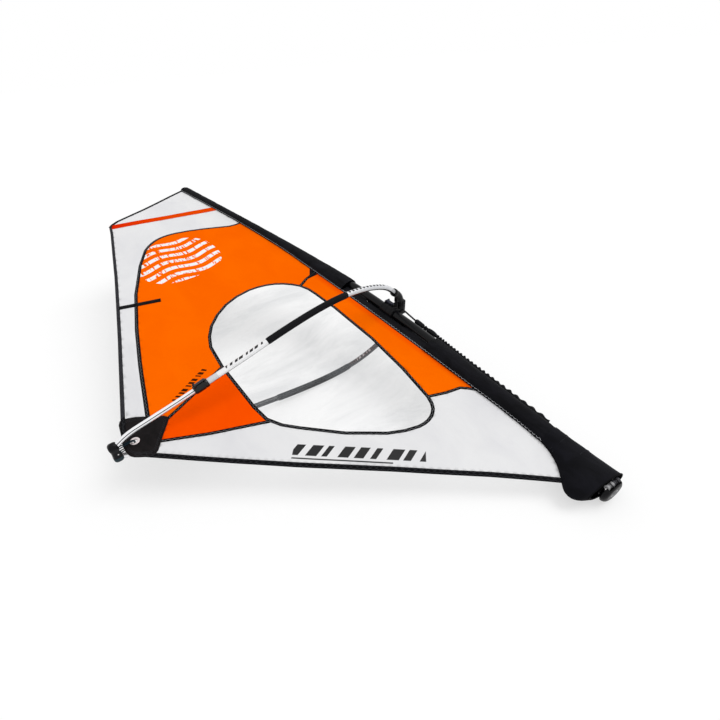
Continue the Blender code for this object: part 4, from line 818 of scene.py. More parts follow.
def flatSize(points):
    # the smallest rectangle that a flat cut fits in
    best = None
    for degree in range(0, 90, 3):
        c, s = cos(radians(degree)), sin(radians(degree))
        us = [p.x * c + p.y * s for p in points]
        vs = [p.y * c - p.x * s for p in points]
        size = (max(us) - min(us), max(vs) - min(vs))
        if best is None or size[0] * size[1] < best[0] * best[1]:
            best = size
    return best


def clothFrom(node, name, finish, tuck, thick, lift=0.0, cell=None, shift=None):
    # a fine cloth piece with the outline of a frame panel, its edges tucked under the tapes
    bm = bmesh.new()
    bm.from_mesh(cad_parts[node].data)
    bmesh.ops.remove_doubles(bm, verts=bm.verts, dist=0.00002)
    bmesh.ops.transform(bm, matrix=rigInverse, verts=bm.verts)
    bmesh.ops.recalc_face_normals(bm, faces=bm.faces)
    bmesh.ops.delete(bm, geom=[f for f in bm.faces if f.normal.z < 0.9], context="FACES")
    bmesh.ops.dissolve_limit(bm, angle_limit=0.001, verts=bm.verts, edges=bm.edges)
    leans = {}
    for edge in bm.edges:
        if len(edge.link_faces) == 1:
            loop = edge.link_loops[0]
            run = loop.link_loop_next.vert.co - loop.vert.co
            for vert in edge.verts:
                leans.setdefault(vert, []).append(Vector((run.y, -run.x, 0)).normalized())
    for vert, sides in leans.items():
        lean = sum(sides, Vector()).normalized()
        vert.co += lean * tuck / max(0.4, lean.dot(sides[0]))
    area = sum(f.calc_area() for f in bm.faces)
    size = flatSize([v.co for v in bm.verts])
    step = cell or sail["cell"]
    for axis in range(2):
        low, high = min(v.co[axis] for v in bm.verts), max(v.co[axis] for v in bm.verts)
        at = ceil(low / step) * step
        while at < high:
            sliceAt(bm, axis, at, 0.00005)
            at += step
    bmesh.ops.triangulate(bm, faces=[f for f in bm.faces if len(f.verts) > 4])
    for vert in bm.verts:
        vert.co.z = sailHeight(vert.co.x, vert.co.y) + lift + thick / 2
        vert.co.y += shift(vert.co.x, vert.co.y) if shift else 0.0
    under = bmesh.ops.extrude_face_region(bm, geom=bm.faces[:])
    for item in under["geom"]:
        if isinstance(item, bmesh.types.BMVert):
            item.co.z -= thick
    return addPiece(name, bm, "rig", finish, nodes=[node], sharp=60), size, area


def besideMast(x, y):
    # the flange's front edge lies against the mast, but for the length where the clamp slides
    near = 1 - ease(0.035, 0.042, y - mastCentre(x))
    free = 1 - ease(1.045, 1.068, x) * (1 - ease(1.338, 1.360, x))
    return -0.0090 * near * free


def makeSail():
    for node in ("head_tape", "leech_tape", "foot_tape", "window_tape", "leech_seam_tape", "clew_seam_tape",
                 "foot_seam_tape", "gusset_seam_tape", "tack_seam_tape"):
        lap = sail["laps"].get(node, sail["lap"])
        finish = leechCloth if node == "leech_tape" else tapeCloth
        clothFrom(node, node.replace("_", "-"), finish, lap, sail["tapeThick"])[0]
    clothFrom("head_batten", "head-batten-pocket", battenCloth, 0.0, 0.0040)[0]
    clothFrom("leech_batten", "leech-batten-pocket", tapeCloth, 0.0045, 0.0020, 0.0016)[0]
    (clothFrom("cutout_strip", "cutout-flange", sleeveCloth, 0.0, sail["tapeThick"],
                                      shift=besideMast)[0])
    cloths = {
        "head_panel": (whiteCloth, ["head_tape", "head_batten"]), "leech_panel": (whiteCloth, ["leech_tape"]),
        "main_panel": (orangeCloth, ["window_tape", "leech_seam_tape", "gusset_seam_tape", "leech_batten"]),
        "luff_panel": (luffCloth, ["cutout_strip"]), "window_panel": (filmClear, []),
        "clew_panel": (clewCloth, ["clew_seam_tape"]),
        "foot_panel": (footCloth, ["foot_tape", "tack_seam_tape", "foot_seam_tape"]),
    }
    for node, (finish, held) in cloths.items():
        piece, size, area = clothFrom(node, node.replace("_", "-"), finish, sail["tuck"], sail["thick"])
        area = min(max(area, 0.301 * size[0] * size[1]), size[0] * size[1])


def makeGutter():
    # the sleeve's rear cloth passes under the mast where the clamp slides, clear of its collar
    bm = newMesh()
    rings = []
    for skin in (0.0, 0.0009):
        rows = []
        for x in stations(*sail["gutter"], 0.012):
            row = []
            for k in range(15):
                turn = -radians(96) * k / 14 + radians(3)
                fold = 0.0007 * noise.noise(Vector((x * 30, k * 0.5, 2.0))) + 0.0007
                reach = sail["gutterRadius"] + fold + skin
                row.append(bm.verts.new((x, mastCentre(x) + reach * cos(turn), reach * sin(turn))))
            rows.append(row)
        rings.append(rows)
    top, under = rings
    for rows in rings:
        for a, b in zip(rows, rows[1:]):
            for k in range(14):
                bm.faces.new((a[k], a[k + 1], b[k + 1], b[k]))
    for i in range(len(top) - 1):
        for k in (0, 14):
            bm.faces.new((top[i][k], top[i + 1][k], under[i + 1][k], under[i][k]))
    for i in (0, -1):
        for k in range(14):
            bm.faces.new((top[i][k], top[i][k + 1], under[i][k + 1], under[i][k]))
    addPiece("cutout-gutter", bm, "rig", sleeveCloth, sharp=60)


def makePatches():
    # a doubled end on the leech tape, and a corner patch where the gusset seam meets the sleeve
    end = smoothLine(sail["leechEnd"], 0.008)
    sides = [[], []]
    for i, p in enumerate(end):
        run = (end[min(i + 1, len(end) - 1)] - end[max(i - 1, 0)]).normalized()
        for side, reach in ((0, 0.0085), (1, -0.0085)):
            sides[side].append((p.x - run.y * reach, p.y + run.x * reach))
    for name, outline in (("leech-tape-end", sides[0] + sides[1][::-1]), ("gusset-corner", sail["gussetCorner"])):
        bm = newMesh()
        lift = sail["tapeThick"] / 2
        low = [bm.verts.new((x, y, sailHeight(x, y) + lift)) for x, y in outline]
        high = [bm.verts.new((x, y, sailHeight(x, y) + lift + 0.0010)) for x, y in outline]
        bm.faces.new(low)
        bm.faces.new(high)
        for k in range(len(outline)):
            j = (k + 1) % len(outline)
            bm.faces.new((low[k], low[j], high[j], high[k]))
        bmesh.ops.triangulate(bm, faces=[f for f in bm.faces if len(f.verts) > 4])
        addPiece(name, bm, "rig", tapeCloth, sharp=60)


makeSail()
makeGutter()
makePatches()
print("sail made")


# sleeve and tack pad: egg sections lofted along the mast

pad = {
    "rear": [(0.020, 0.085), (0.034, 0.110), (0.055, 0.126), (0.085, 0.122), (0.120, 0.088),
             (0.160, 0.050), (0.205, 0.023), (0.250, 0.007)],
    "lowX": 0.020, "highX": 0.250, "wall": 0.0036, "flange": 0.0090, "half": 0.0474, "cell": 0.0045,
    "wrinkle": 0.0022, "binding": 0.0026, "slant": 0.0280, "slantTo": 0.0488, "taper": (0.18, 0.89),
}


def eggPoint(section, turn):
    front, rear, half, sharp = section
    peak = max(sin(pi * i / 60) * cos(pi * i / 120) ** sharp for i in range(61)) if sharp else 1.0
    return front + (rear - front) * (1 - cos(turn)) / 2, half * sin(turn) * abs(cos(turn / 2)) ** sharp / peak


def sleeveSection(x):
    sharp = 0.15
    if x > sleeve["cutHighX"] - 0.001:
        sharp = 0.45 * max(0.0, 1 - (x - sleeve["cutHighX"]) / 0.6)
    return (heightOn(sleeve["front"], x), heightOn(sleeve["rear"], x), mastRadius(x) + sleeve["clearance"], sharp)


def padSection(x):
    reach = (x - pad["lowX"]) / (pad["highX"] - pad["lowX"])
    high = mast["radius"] + sleeve["clearance"] + 0.0027
    low, full = pad["taper"]
    half = pad["half"] + (high - pad["half"]) * min(1.0, max(0.0, (reach - low) / (full - low)))
    return (heightOn(sleeve["front"], x), heightOn(pad["rear"], x), half, 0.42 * (1 - reach) ** 0.8)


def padLean(x, y):
    # the mouth is cut on the slant, its front lower down the mast than its rear
    front, rear = padSection(x)[:2]
    reach = max(0.0, 1 - (x - pad["lowX"]) / (pad["slantTo"] - pad["lowX"]))
    return pad["slant"] * reach * (rear - y) / (rear - front)


def loftShell(xs, sectionAt, wall, flange, swellAt, count=56, leanAt=None):
    bm = newMesh()
    skins = []
    for inset, back in ((0.0, 0.0), (wall, flange)):
        rings = []
        for x in xs:
            front, rear, half, sharp = sectionAt(x)
            section = (front + inset, rear - back, half - inset, sharp)
            flat = [eggPoint(section, 2 * pi * k / count) for k in range(count)]
            ring = []
            for k, (y, z) in enumerate(flat):
                after, before = flat[(k + 1) % count], flat[k - 1]
                out = Vector((before[1] - after[1], after[0] - before[0]))
                out = out.normalized() * -swellAt(x, 2 * pi * k / count) if out.length > 1e-7 else Vector((0, 0))
                lean = leanAt(x, y) if leanAt else 0.0
                ring.append(bm.verts.new((x - lean, y + out.x, z + out.y)))
            rings.append(ring)
        joinRings(bm, rings, False, False)
        skins.append(rings)
    for end in (0, -1):
        bridge(bm, skins[0][end], skins[1][end])
    return bm


def sleeveSwell(low, high, seed):
    # folds that lie flat at the sewn flange, gathers at the open ends and a doubled hem there
    def swell(x, turn):
        loose = ease(0.15, 0.9, abs(turn - pi))
        folds = sleeve["wrinkle"] * noise.noise(Vector((x * 13, 1.3 * cos(turn) + seed, 1.3 * sin(turn))))
        folds += 0.5 * sleeve["wrinkle"] * noise.noise(Vector((x * 42, 2.2 * cos(turn), 2.2 * sin(turn) + seed)))
        ends = min(x - low, high - x)
        gathers = 0.0011 * exp(-ends / 0.05) * sin(9 * turn + 3 * sin(2 * turn + seed))
        hem = 0.0011 * (1 - ease(0.016, 0.020, ends))
        return (folds + gathers) * loose + hem
    return swell


def padSwell(x, turn):
    loose = ease(0.1, 0.8, abs(turn - pi))
    folds = pad["wrinkle"] * noise.noise(Vector((x * 14, 1.6 * cos(turn), 1.6 * sin(turn) + 5)))
    channel = -0.0016 * exp(-((x - 0.118) / 0.0035) ** 2) - 0.0016 * exp(-((x - 0.205) / 0.0035) ** 2)
    return (folds - 0.4 * pad["wrinkle"] + channel) * loose


def makeSleeve():
    for name, low, high, seed in (("luff-sleeve-lower", sleeve["lowX"], sleeve["cutLowX"], 2.0),
                                  ("luff-sleeve-upper", sleeve["cutHighX"], sleeve["topX"], 9.0)):
        bm = loftShell(stations(low, high, sleeve["cell"]), sleeveSection, sleeve["wall"], sleeve["flange"],
                       sleeveSwell(low, high, seed))
        addPiece(name, bm, "rig", sleeveCloth, nodes=[name.replace("-", "_")], sharp=60)
    bm = loftShell(stations(pad["lowX"], pad["highX"], pad["cell"]), padSection, pad["wall"], pad["flange"],
                   padSwell, 72, padLean)
    padPiece = addPiece("tack-pad", bm, "rig", padCloth, nodes=["tack_pad"], sharp=60)
    bm = newMesh()
    section = padSection(pad["lowX"])
    rim = [eggPoint(section, 2 * pi * k / 96) for k in range(96)]
    rim = [(pad["lowX"] + 0.001 - padLean(pad["lowX"], y), y, z) for y, z in rim]
    sweepInto(bm, rim, pad["binding"], 10, hint=(1, 0, 0), closed=True)
    addPiece("tack-pad-binding", bm, "rig", tapeCloth)


makeSleeve()
print("sleeve and pad made")


# mast

def mastPath(low, high, step=0.02):
    return [(x, mastCentre(x), 0.0) for x in stations(low, high, step)]


def makeMast():
    bm = newMesh()
    tubeInto(bm, mastPath(mast["footX"], mast["jointX"]), mast["radius"], mast["wall"], 40)
    addPiece("mast-bottom", bm, "rig", mastGlass, nodes=["mast_bottom_section"])
    bm = newMesh()
    path = mastPath(mast["jointX"] + 0.0003, mast["tipX"])
    tubeInto(bm, path, [mastRadius(p[0]) for p in path], mast["topWall"], 40)
    addPiece("mast-top", bm, "rig", mastGlass, nodes=["mast_top_section"])


makeMast()


# clew: patch, grommet

clew = {"place": (1.206, 1.138), "bore": 0.0090, "neck": 0.0122, "neckHalf": 0.0028, "thick": 0.0030,
        "rim": 0.0133, "rimHalf": 0.0043, "rimHeight": 0.0030, "rimThick": 0.0012}


def makeClew():
    clothFrom("clew_patch", "clew-patch", patchCloth, 0.0, clew["thick"], cell=0.012)
    bm = newMesh()
    profile = []
    for k in range(16):
        turn = 2 * pi * k / 16
        profile.append((clew["rim"] + clew["rimHalf"] * cos(turn), clew["rimHeight"] + clew["rimThick"] * sin(turn)))
    lower = [(r, -h) for r, h in profile]
    place = Matrix.Translation((*clew["place"], 0))
    spunInto(bm, profile, place, 48, ring=True)
    spunInto(bm, lower, place, 48, ring=True)
    bore, neck, half = clew["bore"], clew["neck"], clew["neckHalf"]
    spunInto(bm, [(bore, half), (neck, half), (neck, -half), (bore, -half)], place, 48, ring=True)
    addPiece("clew-grommet", bm, "rig", grommetPlate, nodes=["clew_grommet"])


makeClew()


# clamp on the mast and its lever

clamp = {
    "seat": 0.0258, "outer": 0.0320, "halfHeight": 0.0340, "lug": 0.0085, "pin": 0.0040, "gap": 0.0003,
    "leverLength": 0.0440, "leverWidth": 0.0260, "leverThick": 0.0090, "inset": 0.0010, "leverPin": 0.0025,
}
clamp["deckTop"] = clamp["outer"] + 0.0015
clamp["leverPlace"] = (halfClamp - 0.006, -clamp["leverWidth"] / 2 - clamp["inset"],
                       clamp["deckTop"] + clamp["leverThick"] / 2 + clamp["gap"])


def clampRing():
    # the collar's wall, with a raised rim at each end and three shallow ribs
    bm = newMesh()
    outer = clamp["outer"]
    profile = [(clamp["seat"], -halfClamp), (outer - 0.001, -halfClamp), (outer, -halfClamp + 0.001)]
    for centre in (-0.030, 0.0, 0.030):
        profile += [(outer, centre - 0.0065), (outer - 0.0014, centre - 0.0050),
                    (outer - 0.0014, centre + 0.0050), (outer, centre + 0.0065)]
    profile += [(outer, halfClamp - 0.001), (outer - 0.001, halfClamp), (clamp["seat"], halfClamp)]
    spunInto(bm, profile, Matrix.Rotation(pi / 2, 4, "Y"), 72, ring=True)
    return bm


def makeClamp():
    half, reach, gap = halfClamp + 0.01, 0.06, clamp["gap"] / 2
    body = addPiece("clamp-body", clampRing(), "clamp", nylonBlack, clampMatrix, 35, ["clamp_body"])
    band = addPiece("clamp-band", clampRing(), "clamp", nylonBlack, clampMatrix, 35, ["clamp_band"])
    rear, front = newMesh(), newMesh()
    boxInto(rear, (-half, -gap, -reach), (half, reach, reach))
    boxInto(front, (-half, -reach, -reach), (half, gap, reach))
    carve(body, [(rear, clampMatrix)])
    carve(band, [(front, clampMatrix)])
    lug, web, deck, nose = newMesh(), newMesh(), newMesh(), newMesh()
    pinY, high = -boom["pinAhead"], clamp["halfHeight"]
    spunInto(lug, [(0, -high), (clamp["lug"] - 0.001, -high), (clamp["lug"], -high + 0.001),
                   (clamp["lug"], high - 0.001), (clamp["lug"] - 0.001, high), (0, high)],
             Matrix.Translation((0, pinY, 0)), 40)
    boxInto(web, (-0.0068, pinY, -high + 0.0004), (0.0068, -0.0289, high - 0.0004), 0.0012, 2)
    deckLow = (halfClamp - clamp["leverLength"] - 0.004, -clamp["leverWidth"] - clamp["inset"],
               clamp["deckTop"] - 0.0165)
    boxInto(deck, deckLow, (halfClamp, -clamp["inset"], clamp["deckTop"]), 0.0012, 3)
    boxInto(nose, (-halfClamp - 0.012, pinY - 0.016, -0.006), (-halfClamp + 0.012, -0.0219, 0.006), 0.0025, 3)
    joins = [(bm, clampMatrix) for bm in (web, lug, deck, nose)]
    px, py, pz = clamp["leverPlace"]
    for side in (-1, 1):
        ear = newMesh()
        inner = py + side * (clamp["leverWidth"] / 2 - 0.0037)
        outer = py + side * clamp["leverWidth"] / 2
        boxInto(ear, (px - 0.0044, min(inner, outer), clamp["deckTop"] - 0.003),
                (px + 0.0044, max(inner, outer), pz), 0.0004, 2)
        joins.append((ear, clampMatrix))
        joins.append((rodTool((px, inner, pz), (px, outer, pz), 0.0044, 32), clampMatrix))
    carve(body, joins, "UNION")
    cuts = [(rodTool((0, pinY, -0.1), (0, pinY, 0.1), clamp["pin"] + 0.0003), clampMatrix),
            (rodTool((px, py - 0.03, pz), (px, py + 0.03, pz), clamp["leverPin"] + 0.0003, 24), clampMatrix)]
    hole = newMesh()
    sweepInto(hole, [(x, y, 0) for x, y in ((1.175, -0.1779), (1.153, -0.1745), (1.130, -0.1710))], 0.0048, 20)
    carve(body, cuts + [(hole, rigMatrix)])


def makeLever():
    # a cam lever with a bowed back, a thumb lip and three grip ribs
    length, half, thick = clamp["leverLength"], clamp["leverWidth"] / 2 - 0.004, clamp["leverThick"]
    bm = newMesh()
    boxInto(bm, (-length, -half, -thick / 2), (0.0, half, thick / 2), 0.0022, 4)
    for x in stations(-length + 0.002, -0.002, 0.003):
        sliceAt(bm, 0, x)
    for vert in bm.verts:
        reach = -vert.co.x / length
        if vert.co.z > 0:
            vert.co.z -= 0.0022 * sin(pi * min(1.0, reach * 1.1))
            vert.co.z += 0.0012 * ease(0.85, 1.0, reach)
        vert.co.y *= 1 - 0.18 * ease(0.5, 1.0, reach)
    matrix = clampMatrix @ Matrix.Translation(clamp["leverPlace"])
    lever = addPiece("clamp-lever", bm, "lever", nylonBlue, matrix, 35, ["clamp_lever"])
    joins = [(rodTool((0, -half, 0), (0, half, 0), thick / 2, 40), matrix)]
    for k in range(3):
        rib = newMesh()
        x = -length + 0.008 + 0.004 * k
        z = thick / 2 - 0.0022 * sin(pi * min(1.0, -x / length * 1.1)) - 0.0004
        sweepInto(rib, [(x, -half * 0.6, z), (x, half * 0.6, z)], 0.0008, 12, hint=(1, 0, 0))
        joins.append((rib, matrix))
    carve(lever, joins, "UNION")
    carve(lever, [(rodTool((0, -0.03, 0), (0, 0.03, 0), clamp["leverPin"] + 0.0004, 24), matrix)])


makeClamp()
makeLever()
print("mast, clew and clamp made")


# wishbone boom: yoke, arms, grips, end sleeves with their lock levers

wishbone = {
    "yoke": [(0.024, 0.105), (-0.008, 0.072), (-0.024, 0.040), (-0.029, 0.000)],
    "yokeRadius": 0.0190,
    "arm": [(0.002, 0.082), (0.026, 0.107), (0.060, 0.140), (0.110, 0.168), (0.180, 0.191), (0.260, 0.206),
            (0.350, 0.211), (0.450, 0.206), (0.560, 0.192), (0.680, 0.171), (0.800, 0.146),
            (0.920, 0.123), (1.010, 0.106)],
    "armRadius": 0.0125, "armWall": 0.0015, "gripRadius": 0.0148, "grip": (0.305, 0.715),
    "leg": [(0.800, 0.146), (0.920, 0.123), (1.010, 0.106), (1.110, 0.087), (1.200, 0.072),
            (1.255, 0.063), (1.295, 0.056), (1.325, 0.0455), (1.364, 0.0262)],
    "legRadius": 0.0100, "legWall": 0.0014, "collarStart": 0.985, "collarLength": 0.060,
    "collarRadius": 0.0190, "lockLength": 0.044, "lockThick": 0.006, "screwFace": (-0.60, 0.52, 0.60),
}


def sidePath(line, side, step=0.010):
    return [Vector((0.0, p.x, p.y * side)) for p in smoothLine(line, step)]


def pathPoint(points, y):
    for a, b in zip(points, points[1:]):
        if a.y <= y <= b.y:
            return a.lerp(b, (y - a.y) / (b.y - a.y)), (b - a).normalized()
    return points[-1], (points[-1] - points[-2]).normalized()


def pathSpan(points, low, high):
    inside = [p for p in points if low < p.y < high]
    return [pathPoint(points, low)[0]] + inside + [pathPoint(points, high)[0]]


def makeYoke():
    half = [Vector((0.0, p.x, p.y)) for p in smoothLine(wishbone["yoke"], 0.004)]
    path = half + [Vector((0.0, p.y, -p.z)) for p in half[-2::-1]]
    radii = []
    for i in range(len(path)):
        reach = min(i, len(path) - 1 - i) / (len(path) - 1) * 2
        rim = 0.0014 * (ease(0.0, 0.04, reach) - ease(0.11, 0.15, reach))
        waist = 0.0012 * ease(0.45, 0.7, reach) * (1 - ease(0.8, 1.0, reach))
        radii.append(wishbone["yokeRadius"] - 0.0010 + rim - waist)
    bm = newMesh()
    sweepInto(bm, path, radii, 48, hint=(1, 0, 0))
    yoke = addPiece("boom-yoke", bm, "boom", nylonBlack, foldMatrix, 35, ["boom_yoke"])
    nose = newMesh()
    boxInto(nose, (-0.0200, -0.0485, -0.038), (0.0200, -0.022, 0.038), 0.0080, 5)
    webs = [newMesh(), newMesh()]
    boxInto(webs[0], (-0.0090, -0.020, 0.0368), (0.0090, 0.0085, 0.078), 0.0040, 4)
    boxInto(webs[1], (-0.0090, -0.020, -0.078), (0.0090, 0.0085, -0.0368), 0.0040, 4)
    carve(yoke, [(bm, foldMatrix) for bm in [nose] + webs], "UNION")
    carve(yoke, [(rodTool((0, 0, -0.035), (0, 0, 0.035), clamp["lug"] + 0.0015, 48), foldMatrix)])
    bm = newMesh()
    spunInto(bm, [(0.0, 0.0), (0.0022, 0.0004), (0.0034, 0.0006), (0.0040, -0.0004), (0.0040, -0.0040),
                  (0.0, -0.0040)], steps=32)
    face = Vector(wishbone["screwFace"]).normalized()
    centre = Vector((0.0, -0.029, 0.0)) + face * (wishbone["yokeRadius"] + 0.0004)
    turn = face.to_track_quat("Z", "Y").to_matrix().to_4x4()
    addPiece("yoke-screw", bm, "boom", steelBright, foldMatrix @ Matrix.Translation(centre) @ turn)


def makeArm(name, side):
    arm = sidePath(wishbone["arm"], side)
    bm = newMesh()
    tubeInto(bm, arm, wishbone["armRadius"], wishbone["armWall"], 40, hint=(0, 0, side))
    addPiece("boom-arm-" + name, bm, "boom", tubeCoat, foldMatrix, nodes=["arm_tube_" + name])
    grip = evenLine(pathSpan(arm, *wishbone["grip"]), 0.004)
    radii = []
    for i in range(len(grip)):
        ends = min(i, len(grip) - 1 - i) * 0.004
        radii.append(wishbone["gripRadius"] - 0.0016 * (1 - ease(0.0, 0.010, ends)) - 0.0003 * (i % 2))
    bm = newMesh()
    pipeInto(bm, grip, radii, wishbone["armRadius"] + 0.0003, 40, (0, 0, side))
    addPiece("boom-grip-" + name, bm, "boom", gripFoam, foldMatrix, nodes=["grip_" + name])
    leg = sidePath(wishbone["leg"], side)
    bm = newMesh()
    tubeInto(bm, evenLine(leg, 0.006), wishbone["legRadius"], wishbone["legWall"], 36, hint=(0, 0, side))
    piece = addPiece("tail-leg-" + name, bm, None, alloyPolished, foldMatrix, nodes=["tail_leg_" + name])
    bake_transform(piece)
    makeCollar(name, side, leg)


def makeCollar(name, side, leg):
    start, along = pathPoint(leg, wishbone["collarStart"])
    out = Vector((0.0, -along.z, along.y)) * side
    turn = Matrix((along.cross(out), along, out)).transposed().to_4x4()
    matrix = Matrix.Translation(start) @ Matrix((out, along.cross(out), along)).transposed().to_4x4()
    profile = [(0.0128, 0.000), (0.0160, 0.000), (0.0180, 0.0025), (0.0186, 0.009), (0.0186, 0.012),
               (0.0174, 0.0135), (0.0174, 0.0165), (0.0186, 0.018), (0.0186, 0.048), (0.0178, 0.055),
               (0.0155, 0.0595), (0.0125, 0.060), (0.0106, 0.0585), (0.0106, 0.034), (0.0128, 0.030)]
    bm = newMesh()
    spunInto(bm, profile, matrix, 56, ring=True)
    pin = start + along * (wishbone["collarLength"] - 0.010)
    pin = pin + out * (wishbone["collarRadius"] + wishbone["lockThick"] / 2)
    lock = Matrix.Translation(pin) @ turn
    for edge in (-1, 1):
        near, far = sorted((edge * 0.0055, edge * 0.010))
        boxInto(bm, (near, -0.005, -0.0110), (far, 0.005, 0.0030), 0.0014, 3, lock)
    sweepInto(bm, [lock @ Vector((-0.0095, 0, 0)), lock @ Vector((0.0095, 0, 0))], 0.0015, 16, hint=(0, 1, 0))
    addPiece("end-sleeve-" + name, bm, "boom", nylonGloss, foldMatrix, 35, ["end_sleeve_" + name])
    bm = newMesh()
    boxInto(bm, (-0.005, -wishbone["lockLength"], -0.0027), (0.005, 0.0, 0.0030), 0.0024, 5)
    for y in stations(-wishbone["lockLength"] + 0.002, -0.002, 0.004):
        sliceAt(bm, 1, y)
    for vert in bm.verts:
        reach = -vert.co.y / wishbone["lockLength"]
        vert.co.z += 0.0016 * reach * reach
    for k in range(3):
        y = -wishbone["lockLength"] + 0.006 + 0.004 * k
        z = 0.0027 + 0.0016 * (y / wishbone["lockLength"]) ** 2
        sweepInto(bm, [(-0.0034, y, z), (0.0034, y, z)], 0.0008, 12, hint=(0, 1, 0))
    body = "lock_lever_" + name
    lever = addPiece("lock-lever-" + name, bm, body, nylonDark, foldMatrix @ lock, 35, [body])
    carve(lever, [(rodTool((-0.02, 0, 0), (0.02, 0, 0), 0.0019, 20), foldMatrix @ lock)])


makeYoke()
makeArm("upper", 1)
makeArm("lower", -1)
print("wishbone made")


# tail fitting, its roller and the outhaul

tail = {"inner": 1.3520, "depth": 0.0354, "halfWidth": 0.0465, "thick": 0.0330, "slotHalf": 0.0130,
        "slotEnd": 1.3790, "rollerY": 1.36574, "roller": 0.0080, "rollerHalf": 0.0110, "rope": 0.0022}


def makeTail():
    rollerY = tail["rollerY"]
    middle = tail["inner"] + tail["depth"] / 2
    steps = 44
    path, radii = [], []
    for i in range(steps + 1):
        u = -1 + 2 * i / steps
        path.append((0, middle, tail["halfWidth"] * u))
        lobe = 0.88 + 0.12 * ease(0.18, 0.55, abs(u))
        radii.append(tail["depth"] / 2 * lobe * sqrt(max(0.05, 1 - max(0.0, abs(u) - 0.62) ** 2 / 0.38 ** 2)))

    def squarish(_, turn):
        return (abs(cos(turn)) ** 3.4 + abs(sin(turn)) ** 3.4) ** (-1 / 3.4)

    bm = newMesh()
    sweepInto(bm, path, radii, 56, hint=(0, 1, 0), flat=tail["thick"] / tail["depth"], shape=squarish)
    fitting = addPiece("tail-fitting", bm, "tail", [nylonBlack, nylonTeal], foldMatrix, 35, ["tail_fitting"])
    slot = newMesh()
    boxInto(slot, (-0.012, tail["inner"] - 0.010, -tail["slotHalf"]),
            (0.012, tail["slotEnd"], tail["slotHalf"]), 0.002, 2)
    carve(fitting, [(slot, foldMatrix), (rodTool((-0.04, rollerY, 0), (0.04, rollerY, 0), 0.0028, 24), foldMatrix)])
    inverse = foldMatrix.inverted()
    for face in fitting.data.polygons:
        face.material_index = 1 if (inverse @ face.center).z < -0.020 else 0
    bm = newMesh()
    half, r = tail["rollerHalf"], tail["roller"]
    turn = foldMatrix @ Matrix.Translation((0, rollerY, 0)) @ Matrix.Rotation(pi / 2, 4, "Y")
    spunInto(bm, rollerProfile(r, half, 0.8, 0.8, 0.74), steps=48, ring=True)
    addPiece("tail-roller", bm, "tail_roller", nylonDark, turn, 35, ["tail_roller"])
    ringX, ringY = clew["place"][0] - foldX, clew["place"][1] - foldY
    over = tail["roller"] + tail["rope"] + 0.0003
    bm = newMesh()
    for side in (-1, 1):
        shift, ring = 0.0048 * side, ringX + 0.0026 * side
        path = [(ring, ringY, 0.0), (ring, ringY + 0.0035, over * 0.62), (ring, ringY + 0.012, over * 0.98),
                (ringX * 0.5 + shift, rollerY - 0.02, over), (shift, rollerY, over),
                (shift, rollerY + over * 0.8, over * 0.6), (shift, rollerY + over, 0.0)]
        path += [(x, y, -z) for x, y, z in reversed(path[1:-1])]
        sweepInto(bm, smoothLine(path, 0.003, closed=True), tail["rope"], 12, hint=(1, 0, 0), closed=True)
    addPiece("outhaul-line", bm, "tail", ropeBlue, foldMatrix, nodes=["outhaul_line"])


makeTail()


# mast foot: cup, rollers, release button, downhaul

foot = {
    "radius": 0.0470, "base": -0.0250, "edge": 0.0180, "collar": 0.0340, "collarLength": 0.0200, "tube": 0.0190,
    "socket": 0.0125, "bush": 0.0170, "buttonX": -0.0110, "roller": 0.0095, "rollerLength": 0.0300,
    "rollerPlace": (-0.0050, 0.0300), "button": 0.0065, "proud": 0.0040, "rope": 0.0020, "blockX": 0.0900,
}


